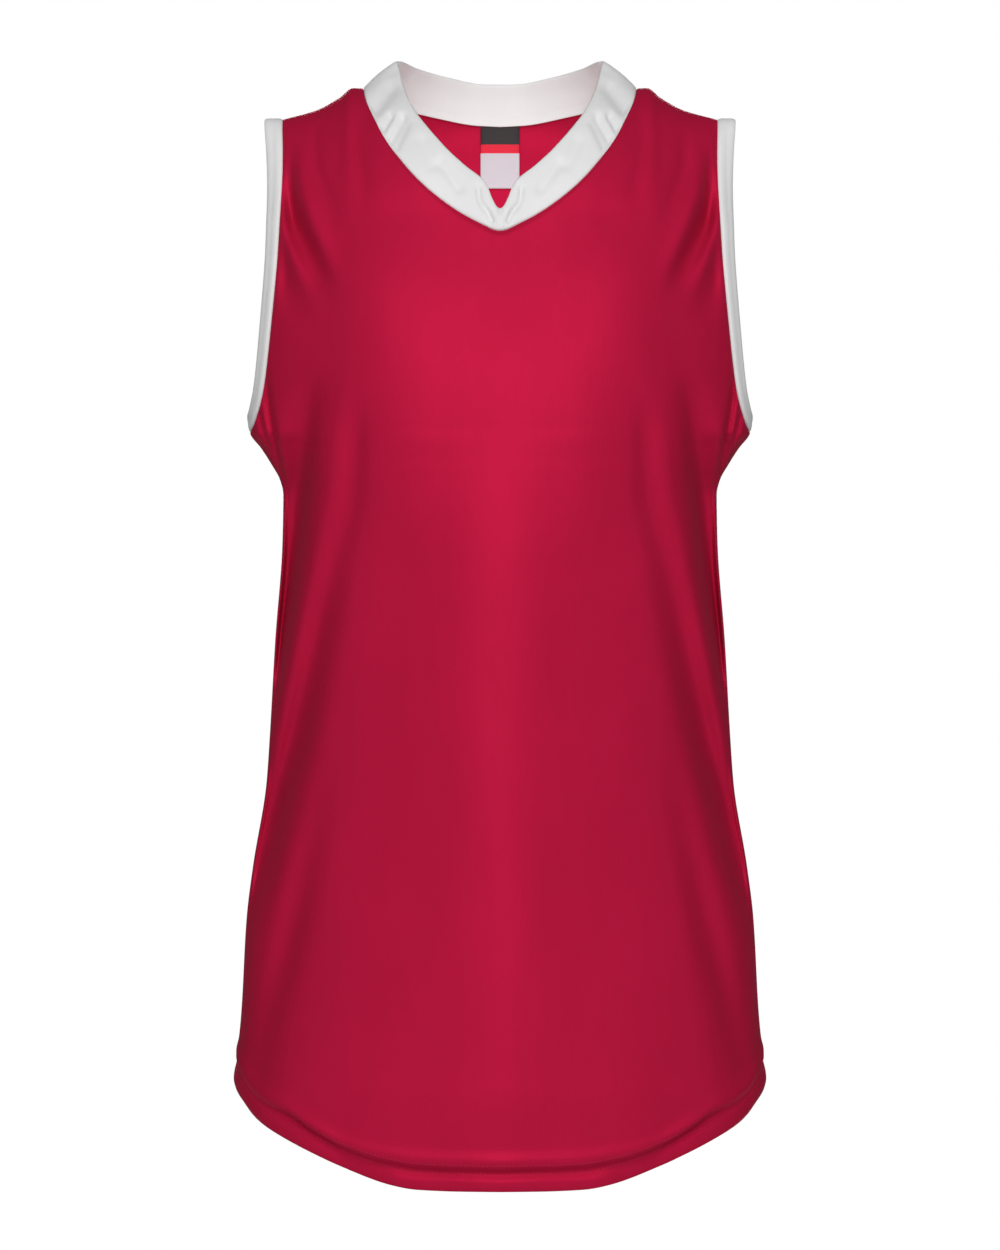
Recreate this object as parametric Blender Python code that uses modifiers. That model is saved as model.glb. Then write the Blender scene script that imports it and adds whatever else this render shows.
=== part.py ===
"""Sleeveless V-notch jersey, filled out as if worn, with nobody in it.

The cloth is a thin wall on one torso surface. A front and a back panel meet at the side and
shoulder seams, a standing neck band and two armhole bands are sewn to their open edges, and a
label hangs inside the back neck. Lengths are in millimetres, and MM turns them into metres.
X runs to the viewer's right, Y to the back and Z up. The origin lies midway between the two
points where the shoulder seams meet the neck seam, at their height.

Every symmetric piece is made as its right half, from the centre line to the side, with a
Mirror modifier.
"""

from collections import namedtuple

import bmesh
import bpy
import numpy as np

MM = 0.001

# Driving dimensions. A drop is measured straight down from the origin's height.
FRONT_LENGTH = 712.5
SIDE_DROP = 652.5
UNDERARM_DROP = 227.0
NECK_HALF_WIDTH = 90.4
SHOULDER_HALF_WIDTH = 143.2
ARM_BAND_WIDTH = 12.3
ARM_BAND_FLAT = 20.0  # this far down from the shoulder the armhole band stands out level
HEM_HEIGHT = 18.0
LABEL_WIDTH = 26.5
LABEL_LENGTH = 43.0

PANEL_WALL = 1.2
HEM_WALL = 2.2  # the panel's cloth turned up once
BAND_WALL = 2.0  # the bands are folded double
LABEL_WALL = 1.0
SEAM_GAP = 0.3
LABEL_GAP = 0.5

# How far below the shoulder seam the cloth has rolled over into its full depth.
FRONT_ROLL = 95.0
BACK_ROLL = 65.0

# The grid of each half panel. The neck takes the first half of the columns.
COLUMNS = 20
NECK_COLUMNS = COLUMNS // 2
SIDE_CROWDING = 0.3  # how much closer the columns stand at the side than at the centre
NECK_CROWDING = 1.2  # over 1, the columns stand closer at the foot of the neck
BODY_ROWS = 22
BODY_CROWDING = 1.3  # over 1, the rows stand closer towards the underarm
UNDERARM_SAG = 15.0  # the row that ends at the underarm runs this much lower at the centre line
ARMHOLE_ROWS = 13
HEM_ROWS = (0.0, 9.0, HEM_HEIGHT, HEM_HEIGHT + 3.0)
UNDERARM_ROW = len(HEM_ROWS) - 1 + BODY_ROWS
NECK_BAND_CUTS = 3  # pieces of neck band along each column of neck seam
NOTCH_CUTS = 6  # the same, beside the notch
ARM_BAND_CUTS = 2

# Level sections through the body. How square the front and back halves are: 2 is an ellipse.
Section = namedtuple("Section", "drop half_width front_depth back_depth front_square back_square")
SECTIONS = (
    Section(0, 162.0, 66, 82, 2.3, 2.5),
    Section(50, 162.5, 79, 94, 2.3, 2.5),
    Section(102, 164.0, 95, 102, 2.3, 2.5),
    Section(150, 166.0, 110, 106, 2.1, 2.3),
    Section(190, 167.0, 117.5, 107, 1.9, 2.05),
    Section(UNDERARM_DROP, 165.0, 119.8, 105, 1.83, 1.95),
    Section(238, 157.2, 120.1, 104.6, 2.02, 2.15),
    Section(249, 150.2, 120.3, 104.2, 2.25, 2.4),
    Section(258, 145.2, 120.4, 103.9, 2.45, 2.6),
    Section(268, 142.9, 120.4, 103.5, 2.52, 2.7),
    Section(298, 143.4, 120.1, 102.6, 2.52, 2.7),
    Section(364, 148.2, 118.9, 102, 2.4, 2.6),
    Section(430, 152.0, 118.2, 103, 2.3, 2.5),
    Section(458, 154.0, 118.3, 105, 2.3, 2.5),
    Section(513, 162.9, 119.2, 108, 2.3, 2.5),
    Section(546, 167.0, 120.3, 110, 2.4, 2.5),
    Section(612, 170.8, 123.3, 114, 2.65, 2.6),
    Section(640, 174.0, 125, 116, 2.8, 2.7),
    Section(SIDE_DROP, 176.7, 126, 117, 2.85, 2.7),
    Section(720, 180.0, 128, 119, 2.9, 2.7),
)

# The ridge over the shoulder. Inside the neck it is only a guide for the neck's roll.
Ridge = namedtuple("Ridge", "across rise")
SHOULDER_RIDGE = (
    Ridge(-20, 27.5),
    Ridge(0, 29.5),
    Ridge(20, 27.5),
    Ridge(45, 20.0),
    Ridge(75, 8.0),
    Ridge(NECK_HALF_WIDTH, 0.0),
    Ridge(97, 0.2),
    Ridge(105.6, -6.0),
    Ridge(121, -14.4),
    Ridge(136, -18.6),
    Ridge(SHOULDER_HALF_WIDTH, -20.2),
    Ridge(170, -23.0),
)

NeckPoint = namedtuple("NeckPoint", "across drop")
FRONT_NECK = (
    NeckPoint(0, 101.6),
    NeckPoint(4.5, 100.7),
    NeckPoint(10.2, 97.8),
    NeckPoint(24.3, 90.1),
    NeckPoint(40.3, 78.6),
    NeckPoint(53.7, 67.1),
    NeckPoint(64.4, 53.5),
    NeckPoint(75.3, 37.8),
    NeckPoint(84, 20.0),
    NeckPoint(88.3, 9.0),
    NeckPoint(NECK_HALF_WIDTH, 0.0),
)
BACK_NECK = (
    NeckPoint(0, 14.0),
    NeckPoint(16, 13.3),
    NeckPoint(43, 9.2),
    NeckPoint(75, 3.4),
    NeckPoint(NECK_HALF_WIDTH, 0.0),
)

# Half the distance between the two armhole seams, on the front and on the back.
ArmholePoint = namedtuple("ArmholePoint", "drop front_across back_across")
ARMHOLE = (
    ArmholePoint(20.2, SHOULDER_HALF_WIDTH, SHOULDER_HALF_WIDTH),
    ArmholePoint(50, 143.0, 144.0),
    ArmholePoint(107, 145.4, 148.0),
    ArmholePoint(165, 150.6, 152.5),
    ArmholePoint(199, 155.0, 156.3),
    ArmholePoint(208, 157.0, 157.8),
    ArmholePoint(217, 160.0, 160.3),
    ArmholePoint(223, 162.4, 162.5),
    ArmholePoint(UNDERARM_DROP, 165.0, 165.0),
)

# The share of the hem's whole lift that it has reached, by the share of a quarter turn.
HemPoint = namedtuple("HemPoint", "turn_share lift_share")
HEM_LIFT = (
    HemPoint(0.0, 0.0),
    HemPoint(0.1, 0.002),
    HemPoint(0.19, 0.015),
    HemPoint(0.267, 0.07),
    HemPoint(0.36, 0.18),
    HemPoint(0.473, 0.345),
    HemPoint(0.587, 0.505),
    HemPoint(0.7, 0.66),
    HemPoint(0.8, 0.82),
    HemPoint(0.9, 0.92),
    HemPoint(1.0, 1.0),
)

# The neck band's free edge from its seam: inboard of it, above it and behind it. The share is
# 0 at the centre front, 0.5 at the shoulder seam and 1 at the centre back.
BandPoint = namedtuple("BandPoint", "share inboard rise behind")
NECK_BAND_EDGE = (
    BandPoint(0.0, 0.0, 14.5, 4.0),
    BandPoint(0.012, 0.1, 15.3, 4.0),
    BandPoint(0.022, 0.6, 18.8, 5.0),
    BandPoint(0.032, 1.8, 22.6, 7.0),
    BandPoint(0.045, 2.7, 24.8, 8.0),
    BandPoint(0.07, 4.5, 25.3, 9.0),
    BandPoint(0.10, 7.0, 24.9, 10.0),
    BandPoint(0.14, 10.3, 23.6, 10.5),
    BandPoint(0.19, 14.2, 21.4, 11.0),
    BandPoint(0.28, 18.0, 18.5, 12.0),
    BandPoint(0.38, 22.0, 14.6, 11.0),
    BandPoint(0.45, 23.6, 14.0, 7.0),
    BandPoint(0.5, 21.9, 18.7, 1.0),
    BandPoint(0.58, 21.5, 21.0, -5.0),
    BandPoint(0.68, 19.0, 22.0, -5.0),
    BandPoint(0.85, 9.0, 24.0, -8.0),
    BandPoint(1.0, 0.0, 25.5, -8.5),
)
NECK_BAND_PUFF = 1.6  # how far the folded band bows out between its two edges
NECK_BAND_RINGS = 4

MIRROR_MERGE = 0.05
SHARP_EDGE = 50  # degrees

# Soft folds, as the front and the back are each looked at square on, the same on both sides of
# the centre line. A fold runs down through its points: "across" from the centre line, "height"
# above the cloth round it, less than 0 for a trough, and "inner" and "outer" for how far it
# spreads towards the centre and the side.
Fold = namedtuple("Fold", "name path")
FoldPoint = namedtuple("FoldPoint", "drop across height inner outer")
FRONT_FOLDS = (
    Fold("chest plane", (
        FoldPoint(90, 62, 0, 34, 34),
        FoldPoint(140, 64, 4.0, 34, 34),
        FoldPoint(205, 62, 5.0, 32, 34),
        FoldPoint(260, 52, 3.5, 28, 32),
        FoldPoint(320, 40, 0, 26, 30),
    )),
    Fold("centre fall", (
        FoldPoint(230, 0, 0, 40, 40),
        FoldPoint(330, 0, 4.5, 40, 40),
        FoldPoint(480, 0, 7.5, 42, 42),
        FoldPoint(640, 0, 7.0, 42, 42),
        FoldPoint(760, 0, 0, 42, 42),
    )),
    Fold("side fall trough", (
        FoldPoint(205, 118, 0, 10, 9),
        FoldPoint(247, 126, -6, 10, 9),
        FoldPoint(290, 133, -12, 9.5, 8),
        FoldPoint(340, 141, -13, 9, 8),
        FoldPoint(390, 148, -9, 9, 8),
        FoldPoint(440, 155, 0, 8, 8),
    )),
    Fold("side fall ridge", (
        FoldPoint(195, 97, 0, 11, 10),
        FoldPoint(261, 108, 2.5, 11, 10),
        FoldPoint(331, 123, 2.5, 11, 9),
        FoldPoint(428, 144, 0, 11, 8),
    )),
    Fold("long trough", (
        FoldPoint(200, 91, 0, 11, 11),
        FoldPoint(274, 96, -5, 11, 11),
        FoldPoint(351, 116, -8, 12, 11),
        FoldPoint(428, 134, -13, 12, 10),
        FoldPoint(467, 145, -13, 11, 9),
        FoldPoint(506, 154, -9, 10, 8),
        FoldPoint(550, 164, 0, 9, 8),
    )),
    Fold("hip trough", (
        FoldPoint(440, 112, 0, 12, 12),
        FoldPoint(523, 128, -6, 12, 12),
        FoldPoint(600, 148, -6, 12, 12),
        FoldPoint(665, 162, 0, 12, 12),
    )),
    Fold("shoulder trough", (
        FoldPoint(34, 140, 0, 9, 8),
        FoldPoint(60, 137, -5, 9, 8),
        FoldPoint(90, 130, -6.5, 9, 8),
        FoldPoint(120, 116, -3.5, 9, 9),
        FoldPoint(145, 104, 0, 9, 9),
    )),
)
BACK_FOLDS = (
    Fold("shoulder blade fall", (
        FoldPoint(90, 70, 0, 22, 22),
        FoldPoint(190, 74, 4, 24, 22),
        FoldPoint(330, 82, 6, 22, 18),
        FoldPoint(480, 92, 5, 20, 16),
        FoldPoint(640, 104, 0, 20, 16),
    )),
    Fold("small of the back", (
        FoldPoint(180, 0, 0, 40, 40),
        FoldPoint(330, 0, -6, 36, 36),
        FoldPoint(480, 0, -6, 30, 30),
        FoldPoint(700, 0, 0, 30, 30),
    )),
    Fold("side fall trough", (
        FoldPoint(206, 118, 0, 10, 10),
        FoldPoint(240, 121, -6, 10, 10),
        FoldPoint(290, 127, -12, 10, 9),
        FoldPoint(340, 133, -13, 10, 9),
        FoldPoint(390, 140, -8, 9, 8),
        FoldPoint(430, 147, 0, 9, 8),
    )),
    Fold("long trough", (
        FoldPoint(230, 98, 0, 12, 12),
        FoldPoint(300, 104, -5, 12, 12),
        FoldPoint(380, 117, -9, 12, 12),
        FoldPoint(450, 131, -12, 12, 11),
        FoldPoint(510, 146, -10, 11, 9),
        FoldPoint(565, 160, 0, 10, 8),
    )),
    Fold("back ridge", (
        FoldPoint(320, 44, 0, 14, 14),
        FoldPoint(430, 46, 3, 14, 14),
        FoldPoint(560, 52, 4, 14, 15),
        FoldPoint(690, 60, 0, 16, 16),
    )),
    Fold("hip trough", (
        FoldPoint(450, 98, 0, 12, 12),
        FoldPoint(540, 112, -5, 12, 12),
        FoldPoint(610, 130, -6, 12, 12),
        FoldPoint(668, 148, 0, 12, 12),
    )),
    Fold("armhole trough", (
        FoldPoint(60, 139, 0, 9, 8),
        FoldPoint(95, 134, -5, 9, 8),
        FoldPoint(135, 124, -3.5, 9, 9),
        FoldPoint(180, 112, 0, 9, 9),
    )),
)
FOLD_SHOULDER_FADE = 2.0  # over 1, a fold reaches its full height sooner below the shoulder seam
FOLD_SIDE_FADE = 6.0  # a fold dies away over this much of the cloth beside the side and armhole


def through(rows, start, end):
    """A smooth curve, which never overshoots, through two named columns of a table."""
    x = np.array([getattr(row, start) for row in rows], float)
    y = np.array([getattr(row, end) for row in rows], float)
    step = np.diff(x)
    slope = np.diff(y) / step
    tangent = np.concatenate([slope[:1], np.zeros(len(x) - 2), slope[-1:]])
    for i in range(1, len(x) - 1):
        before, after = slope[i - 1], slope[i]
        if before * after > 0:
            heavy, light = 2 * step[i] + step[i - 1], step[i] + 2 * step[i - 1]
            tangent[i] = (heavy + light) / (heavy / before + light / after)

    def curve(value):
        value = np.clip(value, x[0], x[-1])
        i = np.clip(np.searchsorted(x, value) - 1, 0, len(step) - 1)
        t = (value - x[i]) / step[i]
        smooth = t * t * (3 - 2 * t)
        bend = step[i] * t * (1 - t) * (tangent[i] * (1 - t) - tangent[i + 1] * t)
        return y[i] * (1 - smooth) + y[i + 1] * smooth + bend

    return curve


def ease(value):
    """0 below 0, 1 above 1, and a soft step between."""
    value = np.clip(value, 0.0, 1.0)
    return value * value * (3 - 2 * value)


def unit(vectors):
    return vectors / np.linalg.norm(vectors, axis=-1, keepdims=True)


half_width_at = through(SECTIONS, "drop", "half_width")
ridge_at = through(SHOULDER_RIDGE, "across", "rise")
hem_lift_at = through(HEM_LIFT, "turn_share", "lift_share")

# One half of the body: its tables, how it rolls over the shoulder, and which way it faces.
Half = namedtuple("Half", "depth square roll folds neck armhole facing")
FRONT = Half(
    through(SECTIONS, "drop", "front_depth"),
    through(SECTIONS, "drop", "front_square"),
    FRONT_ROLL,
    FRONT_FOLDS,
    through(FRONT_NECK, "across", "drop"),
    through(ARMHOLE, "drop", "front_across"),
    -1,
)
BACK = Half(
    through(SECTIONS, "drop", "back_depth"),
    through(SECTIONS, "drop", "back_square"),
    BACK_ROLL,
    BACK_FOLDS,
    through(BACK_NECK, "across", "drop"),
    through(ARMHOLE, "drop", "back_across"),
    1,
)


def fold_height(folds, across, drop):
    """How far the folds stand forward of the plain form."""
    height = np.zeros(np.broadcast(across, drop).shape)
    for fold in folds:
        line, rise, inner, outer = (
            through(fold.path, "drop", name)(drop) for name in ("across", "height", "inner", "outer")
        )
        away = across - line
        height = height + rise * np.exp(-((away / np.where(away < 0, inner, outer)) ** 2))
    return height


def cloth(half, turn, height):
    """Points on the outer face. turn is 0 at the centre line and a quarter turn at the side."""
    drop = -height
    half_width = half_width_at(drop)
    sine = np.clip(np.sin(turn), 0.0, 1 - 1e-9)
    across = half_width * sine
    below = np.clip((ridge_at(across) - height) / half.roll, 0.0, 1.0)
    depth = half.depth(drop) * np.sqrt(1 - (1 - below) ** 2) * np.sqrt(1 - sine ** half.square(drop))
    edge = np.where(drop < UNDERARM_DROP, half.armhole(drop), half_width)
    fade = ease(below * FOLD_SHOULDER_FADE) * ease((edge - across) / FOLD_SIDE_FADE)
    depth = depth + fold_height(half.folds, across, drop) * fade
    return np.stack([across, half.facing * depth, height], axis=-1)


def top_edge(half):
    """Turn and height where each column ends: along the neck seam, then the shoulder seam."""
    across = NECK_HALF_WIDTH * np.sin(np.linspace(0, np.pi / 2, 200))
    heights = -half.neck(across)
    turns = np.arcsin(across / half_width_at(-heights))
    edge = cloth(half, turns, heights)
    length = np.cumsum(np.linalg.norm(np.diff(edge, axis=0), axis=1))
    wanted = length[-1] * np.linspace(0, 1, NECK_COLUMNS + 1) ** NECK_CROWDING
    neck_turns = np.interp(wanted, np.append(0, length), turns)
    neck_heights = np.interp(wanted, np.append(0, length), heights)
    across = np.linspace(NECK_HALF_WIDTH, SHOULDER_HALF_WIDTH, COLUMNS - NECK_COLUMNS + 1)
    heights = ridge_at(across)
    turns = np.arcsin(across / half_width_at(-heights))
    return np.append(neck_turns, turns[1:]), np.append(neck_heights, heights[1:])


def half_panel(half):
    """The right half of a panel as a grid of points, [row, column], from the hem to the top."""
    share = np.linspace(0, 1, COLUMNS + 1)
    turns = np.pi / 2 * share * (1 + SIDE_CROWDING - SIDE_CROWDING * share)
    top_turns, top_heights = top_edge(half)
    hem = -FRONT_LENGTH + (FRONT_LENGTH - SIDE_DROP) * hem_lift_at(turns / (np.pi / 2))
    underarm = -UNDERARM_DROP - UNDERARM_SAG * (1 - share**2)

    heights = [hem + rise for rise in HEM_ROWS]
    hem_top = heights[-1]
    for row in range(1, BODY_ROWS + 1):
        climbed = 1 - (1 - row / BODY_ROWS) ** BODY_CROWDING
        heights.append(hem_top + (underarm - hem_top) * climbed)
    for row in range(1, ARMHOLE_ROWS + 1):
        climbed = (1 - np.cos(np.pi * row / ARMHOLE_ROWS)) / 2
        heights.append(underarm + (top_heights - underarm) * climbed)
    heights = np.array(heights)

    # Up to the underarm the last column is the side seam, and above it the armhole seam.
    side_drop = -heights[:, -1]
    side_turn = np.full(len(heights), np.pi / 2)
    above = slice(UNDERARM_ROW + 1, None)
    side_turn[above] = np.arcsin(half.armhole(side_drop[above]) / half_width_at(side_drop[above]))
    climbed = ease(np.arange(len(heights)) / (len(heights) - 1))[:, None]
    spread = turns / turns[-1] * (1 - climbed) + top_turns / top_turns[-1] * climbed
    return cloth(half, spread * side_turn[:, None], heights)


def outward_normals(grid, ring=False):
    """Unit normals of a grid of points, turned away from the body's upright axis."""
    down = np.gradient(grid, axis=0)
    if ring:
        right = np.roll(grid, -1, axis=1) - np.roll(grid, 1, axis=1)
    else:
        right = np.gradient(grid, axis=1)
    normal = unit(np.cross(right, down))
    outward = np.sign((normal[..., :2] * grid[..., :2]).sum())
    return normal * outward


def level_at_mirror(normals, columns):
    """Normals on the centre line have no part across it."""
    for column in columns:
        normals[:, column, 0] = 0
        normals[:, column] = unit(normals[:, column])
    return normals


def cut_finer(line, cuts, ring=False):
    """The same line with each of its straight pieces cut into equal lengths."""
    ends = np.roll(line, -1, axis=0) if ring else line[1:]
    finer = []
    for start, end, count in zip(line, ends, cuts):
        finer += [start + (end - start) * i / count for i in range(count)]
    return np.array(finer if ring else finer + [line[-1]])


def drawn_back(grid, row=None, column=None, inner=None):
    """The grid with one sewn edge moved half a seam gap back into its own piece."""
    grid = grid.copy()
    if row is not None:
        grid[row] += unit(grid[inner] - grid[row]) * SEAM_GAP / 2
    else:
        grid[:, column] += unit(grid[:, inner] - grid[:, column]) * SEAM_GAP / 2
    return grid


def wall_object(name, grid, normals, thickness, material, closed_ends=(False, True), ring=False):
    """A wall whose outer face is the grid. An end that isn't closed lies on the mirror plane."""
    inner = grid - normals * np.broadcast_to(thickness, grid.shape[:2])[..., None]
    shell = bmesh.new()
    outside, inside = (
        [[shell.verts.new(point * MM) for point in line] for line in layer] for layer in (grid, inner)
    )
    rows, columns = grid.shape[:2]
    pairs = [(c, (c + 1) % columns) for c in range(columns if ring else columns - 1)]
    for c, n in pairs:
        for r in range(rows - 1):
            shell.faces.new((outside[r][c], outside[r][n], outside[r + 1][n], outside[r + 1][c]))
            shell.faces.new((inside[r][c], inside[r + 1][c], inside[r + 1][n], inside[r][n]))
        for r in (0, -1):
            shell.faces.new((outside[r][c], outside[r][n], inside[r][n], inside[r][c]))
    for c, closed in zip((0, -1), closed_ends):
        for r in range(rows - 1 if closed and not ring else 0):
            shell.faces.new((outside[r][c], outside[r + 1][c], inside[r + 1][c], inside[r][c]))
    bmesh.ops.recalc_face_normals(shell, faces=shell.faces[:])
    mesh = bpy.data.meshes.new(name)
    shell.to_mesh(mesh)
    shell.free()
    mesh.shade_smooth()
    mesh.set_sharp_from_angle(angle=np.radians(SHARP_EDGE))
    mesh.materials.append(material)
    wall = bpy.data.objects.new(name, mesh)
    bpy.data.collections["sleeveless_jersey"].objects.link(wall)
    if not ring:
        mirror = wall.modifiers.new("Mirror", "MIRROR")
        mirror.merge_threshold = MIRROR_MERGE * MM
    return wall


def cloth_material(name, colour, roughness):
    material = bpy.data.materials.new(name)
    material.use_nodes = True
    shader = material.node_tree.nodes["Principled BSDF"]
    shader.inputs["Base Color"].default_value = (*colour, 1.0)
    shader.inputs["Roughness"].default_value = roughness
    shader.inputs["Metallic"].default_value = 0.0
    return material


def clear_scene():
    for old in list(bpy.data.objects):
        bpy.data.objects.remove(old)
    collection = bpy.data.collections.new("sleeveless_jersey")
    bpy.context.scene.collection.children.link(collection)


def share_seam_normals(front, back):
    """Makes the two panels' normals the same along the side and shoulder seams."""
    for rows, columns in ((slice(0, UNDERARM_ROW + 1), -1), (-1, slice(NECK_COLUMNS, None))):
        shared = unit(front[rows, columns] + back[rows, columns])
        front[rows, columns] = shared
        back[rows, columns] = shared


def half_neck_seam(front, back):
    """From the centre front over the right shoulder to the centre back."""
    return np.concatenate([front[-1, : NECK_COLUMNS + 1], back[-1, NECK_COLUMNS - 1 :: -1]])


def neck_band_grid(seam):
    """The right half of the neck band in rings, from its seam up to its free edge."""
    length = np.append(0, np.cumsum(np.linalg.norm(np.diff(seam, axis=0), axis=1)))
    over_shoulder = length[np.argmax(seam[:, 0])]
    share = np.interp(length, (0, over_shoulder, length[-1]), (0, 0.5, 1))
    edge = seam.copy()
    edge[:, 0] -= through(NECK_BAND_EDGE, "share", "inboard")(share)
    edge[:, 1] += through(NECK_BAND_EDGE, "share", "behind")(share)
    edge[:, 2] += through(NECK_BAND_EDGE, "share", "rise")(share)
    outward = unit(seam * (1, 1, 0))
    rings = []
    for climbed in np.linspace(0, 1, NECK_BAND_RINGS):
        puff = NECK_BAND_PUFF * np.sin(np.pi * climbed)
        rings.append(seam + (edge - seam) * climbed + outward * puff)
    return np.array(rings)


def make_neck_band(front, back, front_normals, back_normals, material):
    """Sews the band on: band and panels get one shared direction of wall at the seam."""
    seam = half_neck_seam(front, back)
    coarse = level_at_mirror(outward_normals(neck_band_grid(seam)), (0, -1))
    shared = unit(half_neck_seam(front_normals, back_normals) + coarse[0])
    front_normals[-1, : NECK_COLUMNS + 1] = shared[: NECK_COLUMNS + 1]
    back_normals[-1, : NECK_COLUMNS + 1] = shared[: NECK_COLUMNS - 1 : -1]
    cuts = [NOTCH_CUTS] + [NECK_BAND_CUTS] * (len(seam) - 2)
    band = neck_band_grid(cut_finer(seam, cuts))
    normals = level_at_mirror(outward_normals(band), (0, -1))
    normals[0] = unit(cut_finer(shared, cuts))
    band = drawn_back(band, row=0, inner=1)
    wall_object("neck_band", band, normals, BAND_WALL, material, closed_ends=(False, False))


def armhole_ring(front, back):
    """From the underarm up the front edge, over the shoulder and down the back edge."""
    return np.concatenate([front[UNDERARM_ROW:, -1], back[-2:UNDERARM_ROW:-1, -1]])


def make_armhole_band(name, side, front, back, front_normals, back_normals, material):
    """The band carries the panels' surface on past their armhole seam."""
    ring = armhole_ring(front, back)
    cuts = [ARM_BAND_CUTS] * len(ring)
    seam = cut_finer(ring, cuts, ring=True)
    normals = unit(cut_finer(armhole_ring(front_normals, back_normals), cuts, ring=True))
    along = np.roll(seam, -1, axis=0) - np.roll(seam, 1, axis=0)
    away = unit(np.cross(along, normals))
    away *= np.sign(((seam.mean(axis=0) - seam) * away).sum())
    at_shoulder = ease((seam[:, 2] - seam[:, 2].max()) / ARM_BAND_FLAT + 1)
    away = unit(away - away * (0, 0, 1) * at_shoulder[:, None])
    band = np.array([seam + away * ARM_BAND_WIDTH * step for step in (0.0, 0.5, 1.0)])
    band = drawn_back(band, row=0, inner=1)
    normals = np.broadcast_to(normals, band.shape)
    mirror = (side, 1, 1)
    wall_object(name, band * mirror, normals * mirror, BAND_WALL, material, ring=True)


def make_panel(name, grid, normals, material):
    """Its side, armhole, shoulder and neck edges stand half a seam gap back. The hem is free."""
    grid = drawn_back(drawn_back(grid, row=-1, inner=-2), column=-1, inner=-2)
    in_hem = np.arange(len(grid)) < len(HEM_ROWS) - 1
    thickness = np.where(in_hem, HEM_WALL, PANEL_WALL)[:, None]
    wall_object(name, grid, normals, thickness, material)


def places_between(start, end):
    """start, every whole number past it, and end."""
    return np.array([start, *range(int(np.floor(start)) + 1, int(np.ceil(end))), end])


def grid_at(grid, rows, columns):
    """Points of a grid at rows and columns that needn't be whole numbers."""
    by_row = np.array([[np.interp(rows, range(len(grid)), grid[:, c, k]) for k in range(3)]
                       for c in range(grid.shape[1])])
    return np.array([[[np.interp(c, range(len(by_row)), by_row[:, k, r]) for k in range(3)]
                      for c in columns] for r in range(len(rows))])


def make_label(back, back_normals, material):
    """A flat tag that hangs from the neck seam, made from the back panel's own points."""
    centre_line = back[:, 0, 2]
    top = centre_line[-1] - SEAM_GAP
    ends = np.interp((top - LABEL_LENGTH, top), centre_line, range(len(back)))
    across = np.interp(LABEL_WIDTH / 2, back[-1, :, 0], range(back.shape[1]))
    rows, columns = places_between(*ends), places_between(0, across)
    face = grid_at(back, rows, columns)
    face[:, -1, 0] = LABEL_WIDTH / 2
    normals = unit(grid_at(back_normals, rows, columns))
    face -= normals * (PANEL_WALL + LABEL_GAP)
    wall_object("neck_label", face, normals, LABEL_WALL, material)


def build():
    clear_scene()
    red = cloth_material("jersey_red", (0.50, 0.012, 0.045), 0.55)
    white = cloth_material("band_white", (0.80, 0.80, 0.80), 0.6)
    grey = cloth_material("label_grey", (0.62, 0.60, 0.62), 0.5)

    front, back = half_panel(FRONT), half_panel(BACK)
    front_normals = level_at_mirror(outward_normals(front), (0,))
    back_normals = level_at_mirror(outward_normals(back), (0,))
    share_seam_normals(front_normals, back_normals)
    make_neck_band(front, back, front_normals, back_normals, white)
    for name, side in (("armhole_band_left", -1), ("armhole_band_right", 1)):
        make_armhole_band(name, side, front, back, front_normals, back_normals, white)
    make_panel("front_panel", front, front_normals, red)
    make_panel("back_panel", back, back_normals, red)
    make_label(back, back_normals, grey)


build()
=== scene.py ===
"""A sleeveless jersey in red knit with white bands, filled out as if worn, with nobody in it.

The sections follow the jersey as it is sewn: front and back, hem, neck band, armhole bands,
label, and then the studio. Sizes are in millimetres and MM turns them into metres. X runs to
the viewer's right, Y to the back and Z up, from a point between the wearer's shoulders. Seen
from the front, both halves of the jersey are alike. The materials and the studio are in metres.
"""

from collections import namedtuple

import bpy
import numpy as np
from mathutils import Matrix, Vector


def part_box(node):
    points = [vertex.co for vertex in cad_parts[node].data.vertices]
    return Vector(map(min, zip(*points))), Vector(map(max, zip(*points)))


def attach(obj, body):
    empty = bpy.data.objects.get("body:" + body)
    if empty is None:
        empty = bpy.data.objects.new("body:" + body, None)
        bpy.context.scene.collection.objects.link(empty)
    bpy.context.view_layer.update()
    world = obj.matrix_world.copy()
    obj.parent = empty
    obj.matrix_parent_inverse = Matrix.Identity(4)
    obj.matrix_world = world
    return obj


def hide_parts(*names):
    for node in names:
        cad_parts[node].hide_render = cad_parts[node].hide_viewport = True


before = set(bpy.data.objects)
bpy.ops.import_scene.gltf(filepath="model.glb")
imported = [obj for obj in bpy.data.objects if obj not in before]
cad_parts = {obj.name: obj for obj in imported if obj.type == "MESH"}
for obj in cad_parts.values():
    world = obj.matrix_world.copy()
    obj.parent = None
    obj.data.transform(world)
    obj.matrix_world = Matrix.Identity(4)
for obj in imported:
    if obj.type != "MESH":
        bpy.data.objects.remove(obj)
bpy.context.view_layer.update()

# ----------------------------------------------------------------------------
# Front and back. Each is cut in one piece from red polyester interlock, a smooth close knit
# about 0.7 mm thick. They are overlocked to each other down the sides and over the shoulders,
# so each seam is a narrow ditch, and the cloth hangs in soft folds from the armholes.
# ----------------------------------------------------------------------------

MM = 0.001

FRONT_LENGTH = 712.5
SIDE_DROP = 652.5
UNDERARM_DROP = 227.0
NECK_HALF_WIDTH = 90.4
SHOULDER_HALF_WIDTH = 143.2
HEM_HEIGHT = 18.0
FRONT_ROLL = 95.0  # how far below the shoulder seam the cloth has rolled over into its depth
BACK_ROLL = 65.0
UNDERARM_SAG = 15.0  # the row that ends at the underarm runs this much lower at the centre line
SIDE_CROWDING = 0.3
NECK_CROWDING = 1.2
BODY_CROWDING = 1.3

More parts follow.
